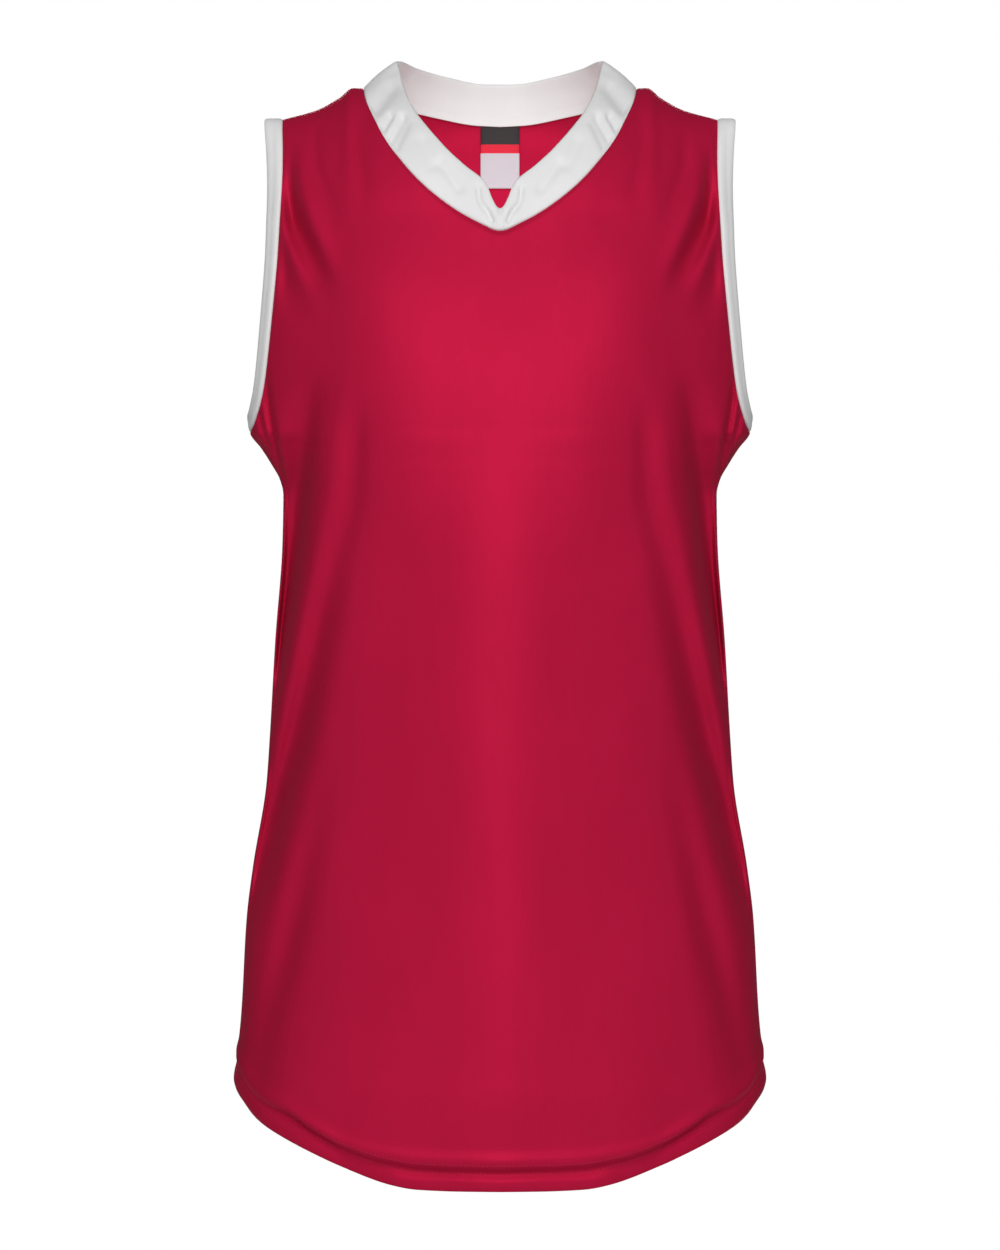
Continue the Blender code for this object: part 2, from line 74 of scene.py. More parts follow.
KNIT_THICKNESS = 0.7
HEM_THICKNESS = 1.5
SEAM_DEPTH = 0.4
SHOULDER_SEAM_DEPTH = 0.35
BAND_SEAM_DEPTH = 1.6
SEAM_WIDTH = 2.2
SHOULDER_FLAT = 25.0  # this far down from the shoulder the armhole's seam lies nearly level


def columns(names, *rows):
    """A table of numbers as its named columns."""
    return dict(zip(names.split(), np.array(rows, float).T))


# Level sections through the body. How square the front and back halves are: 2 is an ellipse.
SECTIONS = columns(
    "drop half_width front_depth back_depth front_square back_square",
    (0, 162.0, 66, 82, 2.3, 2.5),
    (50, 162.5, 79, 94, 2.3, 2.5),
    (102, 164.0, 95, 102, 2.3, 2.5),
    (150, 166.0, 110, 106, 2.1, 2.3),
    (190, 167.0, 117.5, 107, 1.9, 2.05),
    (UNDERARM_DROP, 165.0, 119.8, 105, 1.83, 1.95),
    (238, 157.2, 120.1, 104.6, 2.02, 2.15),
    (249, 150.2, 120.3, 104.2, 2.25, 2.4),
    (258, 145.2, 120.4, 103.9, 2.45, 2.6),
    (268, 142.9, 120.4, 103.5, 2.52, 2.7),
    (298, 143.4, 120.1, 102.6, 2.52, 2.7),
    (364, 148.2, 118.9, 102, 2.4, 2.6),
    (430, 152.0, 118.2, 103, 2.3, 2.5),
    (458, 154.0, 118.3, 105, 2.3, 2.5),
    (513, 162.9, 119.2, 108, 2.3, 2.5),
    (546, 167.0, 120.3, 110, 2.4, 2.5),
    (612, 170.8, 123.3, 114, 2.65, 2.6),
    (640, 174.0, 125, 116, 2.8, 2.7),
    (SIDE_DROP, 176.7, 126, 117, 2.85, 2.7),
    (720, 180.0, 128, 119, 2.9, 2.7),
)

# The line of both shoulder seams above the origin, as if it ran on across the neck.
SHOULDER_RIDGE = columns(
    "across rise",
    (-20, 27.5), (0, 29.5), (20, 27.5), (45, 20.0),
    (75, 8.0), (NECK_HALF_WIDTH, 0.0), (97, 0.2), (105.6, -6.0),
    (121, -14.4), (136, -18.6), (SHOULDER_HALF_WIDTH, -20.2), (170, -23.0),
)

# The neck seam.
FRONT_NECK = columns(
    "across drop",
    (0, 101.5), (1.5, 101.45), (4.5, 100.7), (10.2, 97.8),
    (24.3, 90.1), (40.3, 78.6), (53.7, 66.2), (64.4, 53.5),
    (75.3, 37.8), (84, 20.0), (88.3, 9.0), (NECK_HALF_WIDTH, 0.0),
)
BACK_NECK = columns(
    "across drop",
    (0, 14.0), (16, 13.3), (43, 9.2), (75, 3.4),
    (NECK_HALF_WIDTH, 0.0),
)

# Half the distance between the two armhole seams, on the front and on the back.
ARMHOLE = columns(
    "drop front_across back_across",
    (20.2, SHOULDER_HALF_WIDTH, SHOULDER_HALF_WIDTH),
    (50, 143.0, 144.0),
    (107, 145.4, 148.0),
    (165, 150.6, 152.5),
    (199, 155.0, 156.3),
    (208, 157.0, 157.8),
    (217, 160.0, 160.3),
    (223, 162.4, 162.5),
    (UNDERARM_DROP, 165.0, 165.0),
)

# The share of the hem's whole lift that it has reached, by the share of a quarter turn.
HEM_LIFT = columns(
    "turn_share lift_share",
    (0.0, 0.0), (0.1, 0.002), (0.19, 0.015), (0.267, 0.07),
    (0.36, 0.18), (0.473, 0.345), (0.587, 0.505), (0.7, 0.66),
    (0.8, 0.82), (0.9, 0.92), (1.0, 1.0),
)

# Just under the arms the sections turn square within a short drop.
LEVEL_DROPS = (223, 229, 252, 262, 275, 330, 430)
LEVEL_ACROSS, LEVEL_INNER, LEVEL_OUTER = 60, 40, 34


def levelling(*heights):
    """A wide shallow fold, in the same columns as those below, that levels the cloth there."""
    return [(drop, LEVEL_ACROSS, height, LEVEL_INNER, LEVEL_OUTER)
            for drop, height in zip(LEVEL_DROPS, heights)]


# Soft folds, as the front and the back are each looked at square on. A fold runs down through its
# points: "across" from the centre line, "height" above the cloth round it, less than 0 for a
# trough, and "inner" and "outer" for how far it spreads towards the centre and the side.
FOLD_COLUMNS = "drop across height inner outer"
FRONT_FOLDS = {
    "chest plane": (
        (90, 84, 0, 48, 26), (140, 88, 6.5, 50, 24), (205, 86, 8.0, 48, 24),
        (260, 70, 5.0, 38, 30), (320, 50, 0, 30, 30),
    ),
    "below the chest": levelling(0, -0.2, -3.1, -3.9, -4.1, -2.9, 0),
    "centre fall": (
        (230, 0, 0, 40, 40), (330, 0, 4.5, 40, 40), (480, 0, 7.5, 42, 42),
        (640, 0, 7.0, 42, 42), (760, 0, 0, 42, 42),
    ),
    "side fall trough": (
        (192, 120, 0, 8, 10), (214, 123.5, -7, 8, 12), (237, 127.5, -16, 8, 12),
        (260, 130.5, -23, 7.5, 9), (292, 134.5, -27, 7, 6.5), (331, 139.5, -27, 7, 5),
        (370, 145, -22, 6, 4.5), (400, 150, -11, 5.5, 4), (425, 153, 0, 5, 4),
    ),
    "side fall ridge": (
        (195, 97, 0, 9, 8), (228, 102.5, 2, 9, 8), (261, 108, 2.5, 9, 8),
        (293, 115.5, 2.5, 9, 7), (331, 123.5, 2, 9, 6), (370, 131.5, 2, 9, 6),
        (428, 144, 0, 9, 6),
    ),
    "long trough": (
        (200, 91, 0, 8, 9), (239, 93, -4.5, 8, 9), (274, 95.5, -4.5, 9, 9),
        (312, 106, -5.5, 10, 9), (351, 115.7, -11, 11, 10), (390, 125, -16, 11, 10),
        (428, 134.5, -22, 11, 9), (467, 145.5, -23, 11, 8), (506, 154, -18, 10, 7),
        (540, 162, -6, 9, 6), (560, 167, 0, 9, 6),
    ),
    "hip trough": (
        (440, 112, 0, 10, 11), (485, 120, -3, 10, 11), (523, 128, -6, 10, 11),
        (561, 137, -8, 10, 11), (600, 148, -6, 10, 10), (639, 156.5, -3, 10, 9),
        (670, 165, 0, 10, 9),
    ),
    "shoulder trough": (
        (32, 143, 0, 6, 5), (46, 142, -6, 7, 5), (58, 140.5, -10, 8, 5),
        (72, 140, -14, 7.5, 5), (85, 136.5, -15, 7.5, 5.5), (98, 132, -14, 7.5, 6),
        (111, 125.5, -11.5, 7.5, 6.5), (124, 119, -7, 8, 7), (142, 110, 0, 8, 8),
    ),
    "armhole trough": (
        (92, 146, 0, 6, 6), (108, 145, -7, 7, 6), (122, 142.5, -8, 8, 6),
        (140, 137, -4, 9, 7), (160, 130, 0, 9, 8),
    ),
    "shoulder ridge": (
        (40, 132, 0, 5, 5), (60, 131.5, 3, 5.5, 5), (85, 124.5, 4.5, 6, 5),
        (111, 114, 4, 6.5, 5.5), (140, 101, 0, 8, 7),
    ),
    "armhole ridge": (
        (82, 145, 0, 4, 4), (98, 140, 3, 4, 4), (115, 134.5, 3.2, 4.5, 4),
        (132, 127, 1.5, 5, 5), (150, 120, 0, 5, 5),
    ),
    "shoulder streak": (
        (22, 120, 0, 4, 4), (36, 121.5, -2.2, 4, 4), (56, 119.2, -2.0, 4, 4),
        (82, 109.4, -1.4, 4.5, 4.5), (104, 101, 0, 5, 5),
    ),
    "neck streak": (
        (20, 94, 0, 4, 4), (38, 93.7, -1.5, 4, 4), (56, 90.4, -1.4, 4.5, 4),
        (69, 87.8, -1.0, 5, 4), (84, 85, 0, 5, 5),
    ),
    "underarm trough": (
        (182, 153, 0, 2.2, 2), (199, 151.8, -5, 2.2, 2), (210, 150.9, -7.5, 2.2, 2),
        (228, 148.2, -8.5, 2.4, 2.2), (247, 144.8, -5.5, 2.4, 2.2), (262, 142, 0, 2.4, 2.4),
    ),
    "underarm crease": (
        (210, 158.6, 0, 2, 2), (219, 156.4, -5.5, 2, 2), (229, 153.8, -6.0, 2, 2),
        (238, 150.4, -3.5, 2, 2), (248, 147, 0, 2, 2),
    ),
}
BACK_FOLDS = {
    "shoulder blade fall": (
        (90, 70, 0, 22, 22), (190, 74, 4, 24, 22), (330, 82, 6, 22, 18),
        (480, 92, 5, 20, 16), (640, 104, 0, 20, 16),
    ),
    "below the shoulder blade": levelling(0, -0.2, -2.5, -3.1, -3.3, -2.4, 0),
    "small of the back": (
        (180, 0, 0, 40, 40), (330, 0, -6, 36, 36), (480, 0, -6, 30, 30),
        (700, 0, 0, 30, 30),
    ),
    "side fall trough": (
        (206, 118, 0, 9, 9), (240, 121, -7, 9, 9), (290, 127, -16, 8, 8),
        (340, 133, -17, 8, 7), (390, 140, -9, 8, 6), (430, 147, 0, 8, 6),
    ),
    "long trough": (
        (230, 98, 0, 11, 11), (300, 104, -5, 11, 11), (380, 117, -11, 11, 11),
        (450, 131, -14, 11, 11), (510, 146, -12, 10, 9), (565, 160, 0, 10, 8),
    ),
    "back ridge": (
        (320, 44, 0, 14, 14), (430, 46, 3, 14, 14), (560, 52, 4, 14, 15),
        (690, 60, 0, 16, 16),
    ),
    "hip trough": (
        (450, 98, 0, 11, 11), (540, 112, -5, 11, 11), (610, 130, -6, 12, 11),
        (668, 148, 0, 12, 11),
    ),
    "armhole trough": (
        (60, 139, 0, 7, 7), (95, 134, -5, 7, 7), (135, 124, -3.5, 9, 9),
        (180, 112, 0, 9, 9),
    ),
    "underarm trough": (
        (192, 155, 0, 2, 2), (212, 152.5, -2.6, 2, 2), (236, 148.5, -2.8, 2.2, 2.2),
        (262, 143, 0, 2.4, 2.4),
    ),
}
FOLD_SHOULDER_FADE = 2.0  # how fast the folds come in as the cloth rolls over the shoulder
FOLD_SIDE_FADE = 4.0  # a fold dies away over this much of the cloth beside the side seam
# From this drop upwards the folds fade more slowly and run on, in part, through the armhole seam.
FOLD_BAND_DROP = 205.0
FOLD_BAND_BLEND = 30.0
FOLD_BAND_FADE = 10.0
FOLD_BAND_SHARE = 0.25

# The hem, turned up once. The stitches draw it in, in a valley that wanders and varies along it.
# The cloth swells above that, and the edge below stays back by a share of the valley's depth.
# "across" is measured from the centre line and "height" from the edge.
HEM_VALLEY = columns(
    "across height depth spread swell stays",
    (0, 11.2, 4.4, 3.0, 2.0, 0.25),
    (25, 11.8, 4.8, 3.0, 1.4, 0.35),
    (44, 11.8, 5.4, 3.2, 1.4, 0.45),
    (64, 11.8, 5.2, 3.4, 1.2, 0.45),
    (84, 10.4, 7.2, 4.0, 1.0, 0.85),
    (100, 10.0, 8.0, 4.2, 1.3, 0.95),
    (112, 11.0, 8.0, 4.0, 2.3, 0.7),
    (124, 12.6, 7.4, 3.8, 2.5, 0.55),
    (135, 14.4, 6.0, 3.6, 1.7, 0.45),
    (146, 13.6, 3.4, 3.4, 1.2, 0.4),
    (155, 12.6, 1.9, 3.2, 1.0, 0.3),
    (166, 12.6, 0.9, 3.0, 0.9, 0.2),
    (177, 13.0, 0.6, 3.0, 0.8, 0.0),
)
HEM_TUCK = 0.1  # how steeply the edge leans in
HEM_SWELL_ABOVE = 8.5
HEM_SWELL_SPREAD = 4.4
HEM_EDGE_ROUND = 0.7
HEM_EDGE_SPREAD = 1.4

# The grid of a half panel: heights of its rows above the hem's edge, and counts of rows above
# those and of columns.
HEM_ROWS = (0.0, 0.5, 1.2, 2.4, 4.0, 5.6, 7.0, 8.2, 9.4, 10.6, 11.8, 13.0, 14.2, 15.4, 16.6, HEM_HEIGHT,
            19.4, 20.8, 22.2, 23.8, 25.6, 27.6, 30.0)
BODY_ROWS = 120
ARMHOLE_ROWS = 72
NECK_COLUMNS = 46
SHOULDER_COLUMNS = 44
UNDERARM_ROW = len(HEM_ROWS) - 1 + BODY_ROWS


def through(table, start, end):
    """A smooth curve, which never overshoots, through two columns of a table."""
    x, y = table[start], table[end]
    step = np.diff(x)
    slope = np.diff(y) / step
    tangent = np.concatenate([slope[:1], np.zeros(len(x) - 2), slope[-1:]])
    for i in range(1, len(x) - 1):
        before, after = slope[i - 1], slope[i]
        if before * after > 0:
            heavy, light = 2 * step[i] + step[i - 1], step[i] + 2 * step[i - 1]
            tangent[i] = (heavy + light) / (heavy / before + light / after)

    def curve(value):
        value = np.clip(value, x[0], x[-1])
        i = np.clip(np.searchsorted(x, value) - 1, 0, len(step) - 1)
        t = (value - x[i]) / step[i]
        smooth = t * t * (3 - 2 * t)
        bend = step[i] * t * (1 - t) * (tangent[i] * (1 - t) - tangent[i + 1] * t)
        return y[i] * (1 - smooth) + y[i + 1] * smooth + bend

    return curve


def read_off(table, values):
    """All columns of a table but its first, at values of the first."""
    first, *others = table
    return [through(table, first, name)(values) for name in others]


def ease(value):
    """0 below 0, 1 above 1, and a soft step between."""
    value = np.clip(value, 0.0, 1.0)
    return value * value * (3 - 2 * value)


def unit(vectors):
    """The same directions, each 1 long."""
    return vectors / np.linalg.norm(vectors, axis=-1, keepdims=True)


def length_along(grid, axis=0):
    """How far each point of a line or a grid is from the first one, along the cloth."""
    length = np.cumsum(np.linalg.norm(np.diff(grid, axis=axis), axis=-1), axis=axis)
    return np.concatenate([np.zeros_like(np.take(length, [0], axis=axis)), length], axis=axis)


half_width_at = through(SECTIONS, "drop", "half_width")
ridge_at = through(SHOULDER_RIDGE, "across", "rise")
hem_lift_at = through(HEM_LIFT, "turn_share", "lift_share")

# One half of the body: its tables, how it rolls over the shoulder, and which way it faces.
Half = namedtuple("Half", "depth square armhole neck roll folds facing")


def half_of_body(side, neck, *others):
    """The front or the back, with its columns of the tables as curves."""
    depth, square = (through(SECTIONS, "drop", side + name) for name in ("_depth", "_square"))
    armhole = through(ARMHOLE, "drop", side + "_across")
    return Half(depth, square, armhole, through(neck, "across", "drop"), *others)


FRONT = half_of_body("front", FRONT_NECK, FRONT_ROLL, FRONT_FOLDS, -1)
BACK = half_of_body("back", BACK_NECK, BACK_ROLL, BACK_FOLDS, 1)


def fold_height(folds, across, drop):
    """How far the folds stand forward of the plain form."""
    height = np.zeros(np.broadcast(across, drop).shape)
    for points in folds.values():
        line, rise, inner, outer = read_off(columns(FOLD_COLUMNS, *points), drop)
        away = across - line
        height = height + rise * np.exp(-((away / np.where(away < 0, inner, outer)) ** 2))
    return height


TINY = 1e-9  # keeps the side just short of a quarter turn, where the section ends


def cloth(half, turn, height):
    """Points on the outer face. turn is 0 at the centre line and a quarter turn at the side."""
    drop = -height
    half_width = half_width_at(drop)
    sine = np.clip(np.sin(turn), 0.0, 1 - TINY)
    across = half_width * sine
    below = np.clip((ridge_at(across) - height) / half.roll, 0.0, 1.0)
    depth = half.depth(drop) * np.sqrt(1 - (1 - below) ** 2) * np.sqrt(1 - sine ** half.square(drop))
    edge = np.where(drop < UNDERARM_DROP, half.armhole(drop), half_width)
    at_band = ease((FOLD_BAND_DROP - drop) / FOLD_BAND_BLEND)
    beside = ease((edge - across) / (FOLD_SIDE_FADE + (FOLD_BAND_FADE - FOLD_SIDE_FADE) * at_band))
    beside = beside + (1 - beside) * FOLD_BAND_SHARE * at_band
    fade = ease(below * FOLD_SHOULDER_FADE) * beside
    depth = depth + fold_height(half.folds, across, drop) * fade
    return np.stack([across, half.facing * depth, height], axis=-1)


# Where the columns stand: 0 is the centre line, 0.5 the inner end of the shoulder seam and 1 the
# side. The last of them crowd into the seam's ditch.
EDGE_SHARE = 0.03
EDGE_STEPS = np.array((0.35, 0.6, 0.78, 0.9, 1.0))
SHARES = np.concatenate([
    np.linspace(0.0, 0.5, NECK_COLUMNS + 1)[:-1],
    np.linspace(0.5, 1 - EDGE_SHARE, SHOULDER_COLUMNS),
    1 - EDGE_SHARE + EDGE_SHARE * EDGE_STEPS,
])
NECK_SAMPLES = 200


def top_edge(half):
    """Turn and height where each column ends: along the neck seam, then the shoulder seam."""
    across = NECK_HALF_WIDTH * np.sin(np.linspace(0, np.pi / 2, NECK_SAMPLES))
    heights = -half.neck(across)
    turns = np.arcsin(across / half_width_at(-heights))
    length = length_along(cloth(half, turns, heights))
    wanted = length[-1] * (2 * SHARES[: NECK_COLUMNS + 1]) ** NECK_CROWDING
    neck_turns = np.interp(wanted, length, turns)
    neck_heights = np.interp(wanted, length, heights)
    past_neck = 2 * SHARES[NECK_COLUMNS + 1 :] - 1
    across = NECK_HALF_WIDTH + (SHOULDER_HALF_WIDTH - NECK_HALF_WIDTH) * past_neck
    heights = ridge_at(across)
    turns = np.arcsin(across / half_width_at(-heights))
    return np.append(neck_turns, turns), np.append(neck_heights, heights)


def half_panel(half):
    """The right half of a panel as a grid of points, [row, column], from the hem to the top."""
    turns = np.pi / 2 * SHARES * (1 + SIDE_CROWDING - SIDE_CROWDING * SHARES)
    top_turns, top_heights = top_edge(half)
    hem = -FRONT_LENGTH + (FRONT_LENGTH - SIDE_DROP) * hem_lift_at(turns / (np.pi / 2))
    underarm = -UNDERARM_DROP - UNDERARM_SAG * (1 - SHARES**2)
    heights = [hem + rise for rise in HEM_ROWS]
    hem_top = heights[-1]
    for row in range(1, BODY_ROWS + 1):
        climbed = 1 - (1 - row / BODY_ROWS) ** BODY_CROWDING
        heights.append(hem_top + (underarm - hem_top) * climbed)
    for row in range(1, ARMHOLE_ROWS + 1):
        climbed = (1 - np.cos(np.pi * row / ARMHOLE_ROWS)) / 2
        heights.append(underarm + (top_heights - underarm) * climbed)
    heights = np.array(heights)

    # Up to the underarm the last column is the side seam, and above it the armhole seam.
    side_drop = -heights[:, -1]
    side_turn = np.full(len(heights), np.pi / 2)
    above = slice(UNDERARM_ROW + 1, None)
    side_turn[above] = np.arcsin(half.armhole(side_drop[above]) / half_width_at(side_drop[above]))
    climbed = ease(np.arange(len(heights)) / (len(heights) - 1))[:, None]
    spread = turns / turns[-1] * (1 - climbed) + top_turns / top_turns[-1] * climbed
    return cloth(half, spread * side_turn[:, None], heights)


def outward_normals(grid):
    """Unit normals of a grid of points, turned away from the body's upright axis."""
    normal = unit(np.cross(np.gradient(grid, axis=1), np.gradient(grid, axis=0)))
    return normal * np.sign((normal[..., :2] * grid[..., :2]).sum())


def level_at_centre(normals):
    """Turns the normals on the centre line so that they have no part across it."""
    normals[:, 0, 0] = 0
    normals[:, 0] = unit(normals[:, 0])
    return normals


def share_seam_normals(front, back):
    """Makes the two panels' normals the same along the side and shoulder seams."""
    for seam in ((slice(0, UNDERARM_ROW + 1), -1), (-1, slice(NECK_COLUMNS, None))):
        shared = unit(front[seam] + back[seam])
        front[seam] = shared
        back[seam] = shared


def distance_to_edge(grid, axis):
    """How far each point lies from the grid's last row or column, along the cloth."""
    return np.flip(length_along(np.flip(grid, axis), axis), axis)


def hem_relief(across, height):
    """How far the turned-up hem stands out, by height above its edge."""
    lowest, depth, spread, swell, stays = read_off(HEM_VALLEY, across)
    above_it = height - lowest
    valley = np.exp(-((above_it / spread) ** 2))
    valley = np.where(above_it < 0, stays + (1 - stays) * valley, valley)
    swelling = swell * np.exp(-(((above_it - HEM_SWELL_ABOVE) / HEM_SWELL_SPREAD) ** 2))
    leaning = HEM_TUCK * np.clip(-above_it, 0, None)
    return swelling - depth * valley - leaning - HEM_EDGE_ROUND * np.exp(-((height / HEM_EDGE_SPREAD) ** 2))


def sewn(grid, normals):
    """The half panel with its seams drawn in and its hem shaped."""
    below_shoulder = ease((grid[-1, -1, 2] - grid[:, -1, 2]) / SHOULDER_FLAT)
    side_depth = SHOULDER_SEAM_DEPTH + (BAND_SEAM_DEPTH - SHOULDER_SEAM_DEPTH) * below_shoulder
    side_depth[: UNDERARM_ROW + 1] = SEAM_DEPTH
    top_depth = np.where(np.arange(grid.shape[1]) <= NECK_COLUMNS, BAND_SEAM_DEPTH, SHOULDER_SEAM_DEPTH)
    side = side_depth[:, None] * np.exp(-((distance_to_edge(grid, 1) / SEAM_WIDTH) ** 2))
    top = top_depth * np.exp(-((distance_to_edge(grid, 0) / SEAM_WIDTH) ** 2))
    relief = hem_relief(grid[..., 0], grid[..., 2] - grid[:1, :, 2])
    return grid + normals * (relief - np.maximum(side, top))[..., None]


def both_halves(half_grid):
    """A whole panel from the viewer's left to right."""
    return np.concatenate([half_grid[:, :0:-1] * (-1, 1, 1), half_grid], axis=1)


def cloth_uv(grid):
    """The cloth's own sizes in metres: across from the centre line, and up from the hem."""
    across = length_along(grid, 1)
    across -= across[:, [grid.shape[1] // 2]]
    return np.stack([across, length_along(grid)], axis=-1) * MM


def add_object(name, data):
    """A mesh, a lamp or a camera as an object in the scene."""
    added = bpy.data.objects.new(name, data)
    bpy.context.scene.collection.objects.link(added)
    return added


def add_piece(name, mesh):
    """A mesh as a piece of the jersey."""
    piece = add_object(name, mesh)
    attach(piece, "root")
    return piece


def wall_piece(name, outer, inner, uv, material):
    """A closed wall between two grids of points, with the UV of the outer one on both faces."""
    count = outer.shape[0] * outer.shape[1]
    index = np.arange(count).reshape(outer.shape[:2])
    a, b, c, d = index[:-1, :-1], index[:-1, 1:], index[1:, 1:], index[1:, :-1]
    face = np.stack([a, b, c, d], axis=-1).reshape(-1, 4)
    inside = face[:, ::-1] + count
    rims = []
    for edge in (index[0, ::-1], index[-1], index[:, 0], index[::-1, -1]):
        rims.append(np.stack([edge[:-1], edge[1:], edge[1:] + count, edge[:-1] + count], axis=-1))
    faces = np.concatenate([face, inside] + rims)
    points = np.concatenate([outer.reshape(-1, 3), inner.reshape(-1, 3)]) * MM
    centre = points[face[0]].mean(axis=0) - points[inside[0]].mean(axis=0)
    corner = points[face[0]]
    if np.dot(np.cross(corner[1] - corner[0], corner[3] - corner[0]), centre) < 0:
        faces = faces[:, ::-1]
    mesh = bpy.data.meshes.new(name)
    mesh.from_pydata(points.tolist(), [], faces.tolist())
    corners = np.empty(len(mesh.loops), np.int32)
    mesh.loops.foreach_get("vertex_index", corners)
    on_cloth = uv.reshape(-1, 2)[corners % count]
    mesh.uv_layers.new(name="cloth").uv.foreach_set("vector", on_cloth.ravel())
    mesh.shade_smooth()
    mesh.materials.append(material)
    return add_piece(name, mesh)


def add_node(tree, kind, settings=(), **inputs):
    """Adds a node, makes its settings and sets or links its inputs, named with _ for a space."""
    node = tree.nodes.new(kind)
    for name, value in dict(settings).items():
        setattr(node, name, value)
    for name, value in inputs.items():
        socket = node.inputs[name.replace("_", " ")]
        if isinstance(value, bpy.types.NodeSocket):
            tree.links.new(value, socket)
        else:
            socket.default_value = value
    return node


def calculate(tree, operation, *values):
    """Adds a node that reckons with numbers or sockets, and returns its result."""
    node = tree.nodes.new("ShaderNodeMath")
    node.operation = operation
    for socket, value in zip(node.inputs, values):
        if isinstance(value, bpy.types.NodeSocket):
            tree.links.new(value, socket)
        else:
            socket.default_value = value
    return node.outputs[0]


WALE = 0.0009  # a rib's width
COURSE = 0.0007  # a stitch's height
STITCH_SLANT = 0.5
RIB_ROUNDING = 0.6
STITCH_RELIEF = 0.5  # the stitches' share of the relief


def knit_height(tree):
    """The knit's loops as a height from 0 to 1: upright ribs, each of small slanted stitches."""
    uv = add_node(tree, "ShaderNodeUVMap").outputs["UV"]
    split = add_node(tree, "ShaderNodeSeparateXYZ", Vector=uv)
    rib = calculate(tree, "PINGPONG", calculate(tree, "DIVIDE", split.outputs["X"], WALE / 2), 1.0)
    slanted = calculate(tree, "ADD", calculate(tree, "DIVIDE", split.outputs["Y"], COURSE),
                        calculate(tree, "MULTIPLY", rib, STITCH_SLANT))
    stitch = calculate(tree, "PINGPONG", calculate(tree, "MULTIPLY", slanted, 2.0), 1.0)
    relief = calculate(tree, "ADD", calculate(tree, "MULTIPLY", stitch, STITCH_RELIEF), 1 - STITCH_RELIEF)
    return calculate(tree, "MULTIPLY", calculate(tree, "POWER", rib, RIB_ROUNDING), relief)


def new_material(name, settings):
    """A material with its shader's plain inputs set, and then its node tree and that shader."""
    material = bpy.data.materials.new(name)
    material.use_nodes = True
    shader = material.node_tree.nodes["Principled BSDF"]
    for socket, value in settings.items():
        shader.inputs[socket].default_value = value
    return material, material.node_tree, shader


def knit_material(name, colour, deep_colour, relief, settings):
    """Knit cloth: its loops as fine relief, and a faint unevenness in the dye and the lie."""
    material, tree, shader = new_material(name, settings)
    place = add_node(tree, "ShaderNodeTexCoord").outputs["Object"]
    stretched = add_node(tree, "ShaderNodeMapping", Vector=place, Scale=(1.0, 1.0, 0.35)).outputs[0]
    clouds = add_node(tree, "ShaderNodeTexNoise", Vector=stretched, Scale=38.0, Detail=3.0,
                      Roughness=0.55).outputs[0]
    loops = knit_height(tree)
    shade = add_node(tree, "ShaderNodeMapRange", Value=clouds, From_Min=0.3, From_Max=0.7).outputs[0]
    mix = add_node(tree, "ShaderNodeMix", {"data_type": "RGBA"}, Factor=shade)
    mix.inputs[6].default_value = (*deep_colour, 1.0)
    mix.inputs[7].default_value = (*colour, 1.0)
    tree.links.new(mix.outputs[2], shader.inputs["Base Color"])
    lie = add_node(tree, "ShaderNodeBump", Strength=1.0, Distance=0.00035, Height=clouds)
    bump = add_node(tree, "ShaderNodeBump", Strength=1.0, Distance=relief, Height=loops,
                    Normal=lie.outputs[0])
    tree.links.new(bump.outputs[0], shader.inputs["Normal"])
    return material


RED = (0.410, 0.0082, 0.041)
DEEP_RED = (0.385, 0.0078, 0.038)
RED_RELIEF = 0.00004
red_knit = knit_material("red_interlock", RED, DEEP_RED, RED_RELIEF, {
    # Dyed filaments shine in the dye's own colour, so a little of the cloth is metallic.
    "Metallic": 0.15,
    "Roughness": 0.44,
    "Specular IOR Level": 0.02,
    "Specular Tint": (0.80, 0.03, 0.10, 1.0),
    "Sheen Weight": 0.02,
    "Sheen Roughness": 0.4,
    "Sheen Tint": (1.0, 0.25, 0.4, 1.0),
})

front_half, back_half = half_panel(FRONT), half_panel(BACK)
front_normals = level_at_centre(outward_normals(front_half))
back_normals = level_at_centre(outward_normals(back_half))
share_seam_normals(front_normals, back_normals)


def make_panel(name, half_grid, half_normals):
    """The panel's outer face with its seams and hem, and its inner face behind it."""
    outer_half = sewn(half_grid, half_normals)
    in_hem = np.arange(len(half_grid)) <= HEM_ROWS.index(HEM_HEIGHT)
    thickness = np.where(in_hem, HEM_THICKNESS, KNIT_THICKNESS)[:, None, None]
    outer = both_halves(outer_half)
    inner = both_halves(outer_half - half_normals * thickness)
    return wall_piece(name, outer, inner, cloth_uv(outer), red_knit), outer


front_piece, front_grid = make_panel("front_cloth", front_half, front_normals)
back_piece, back_grid = make_panel("back_cloth", back_half, back_normals)
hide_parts("front_panel")
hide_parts("back_panel")

# ----------------------------------------------------------------------------
# Hem. Both panels are turned up 18 mm together and coverstitched: two rows of red thread run
# round the outside, and a looser thread zigzags over the raw edge inside.
# ----------------------------------------------------------------------------

HEM_NEEDLES = (11.2, HEM_HEIGHT - 0.8)
HEM_PITCH = 2.8
HEM_STITCH = HEM_PITCH * 0.84
HEM_STITCH_PROUD = 0.02
THREAD = 0.36
LOOPER_PITCH = 1.4
LOOPER_LENGTH = 5.6
LOOPER_SLANT = 32.0
LOOPER_CLEAR = 0.15


def node_socket(tree, name, kind, value=None):
    """Adds a named input to a node group and returns the key that a modifier sets it by."""
    socket = tree.interface.new_socket(name=name, in_out="INPUT", socket_type=kind)
    if value is not None:
        socket.default_value = value
    return socket.identifier


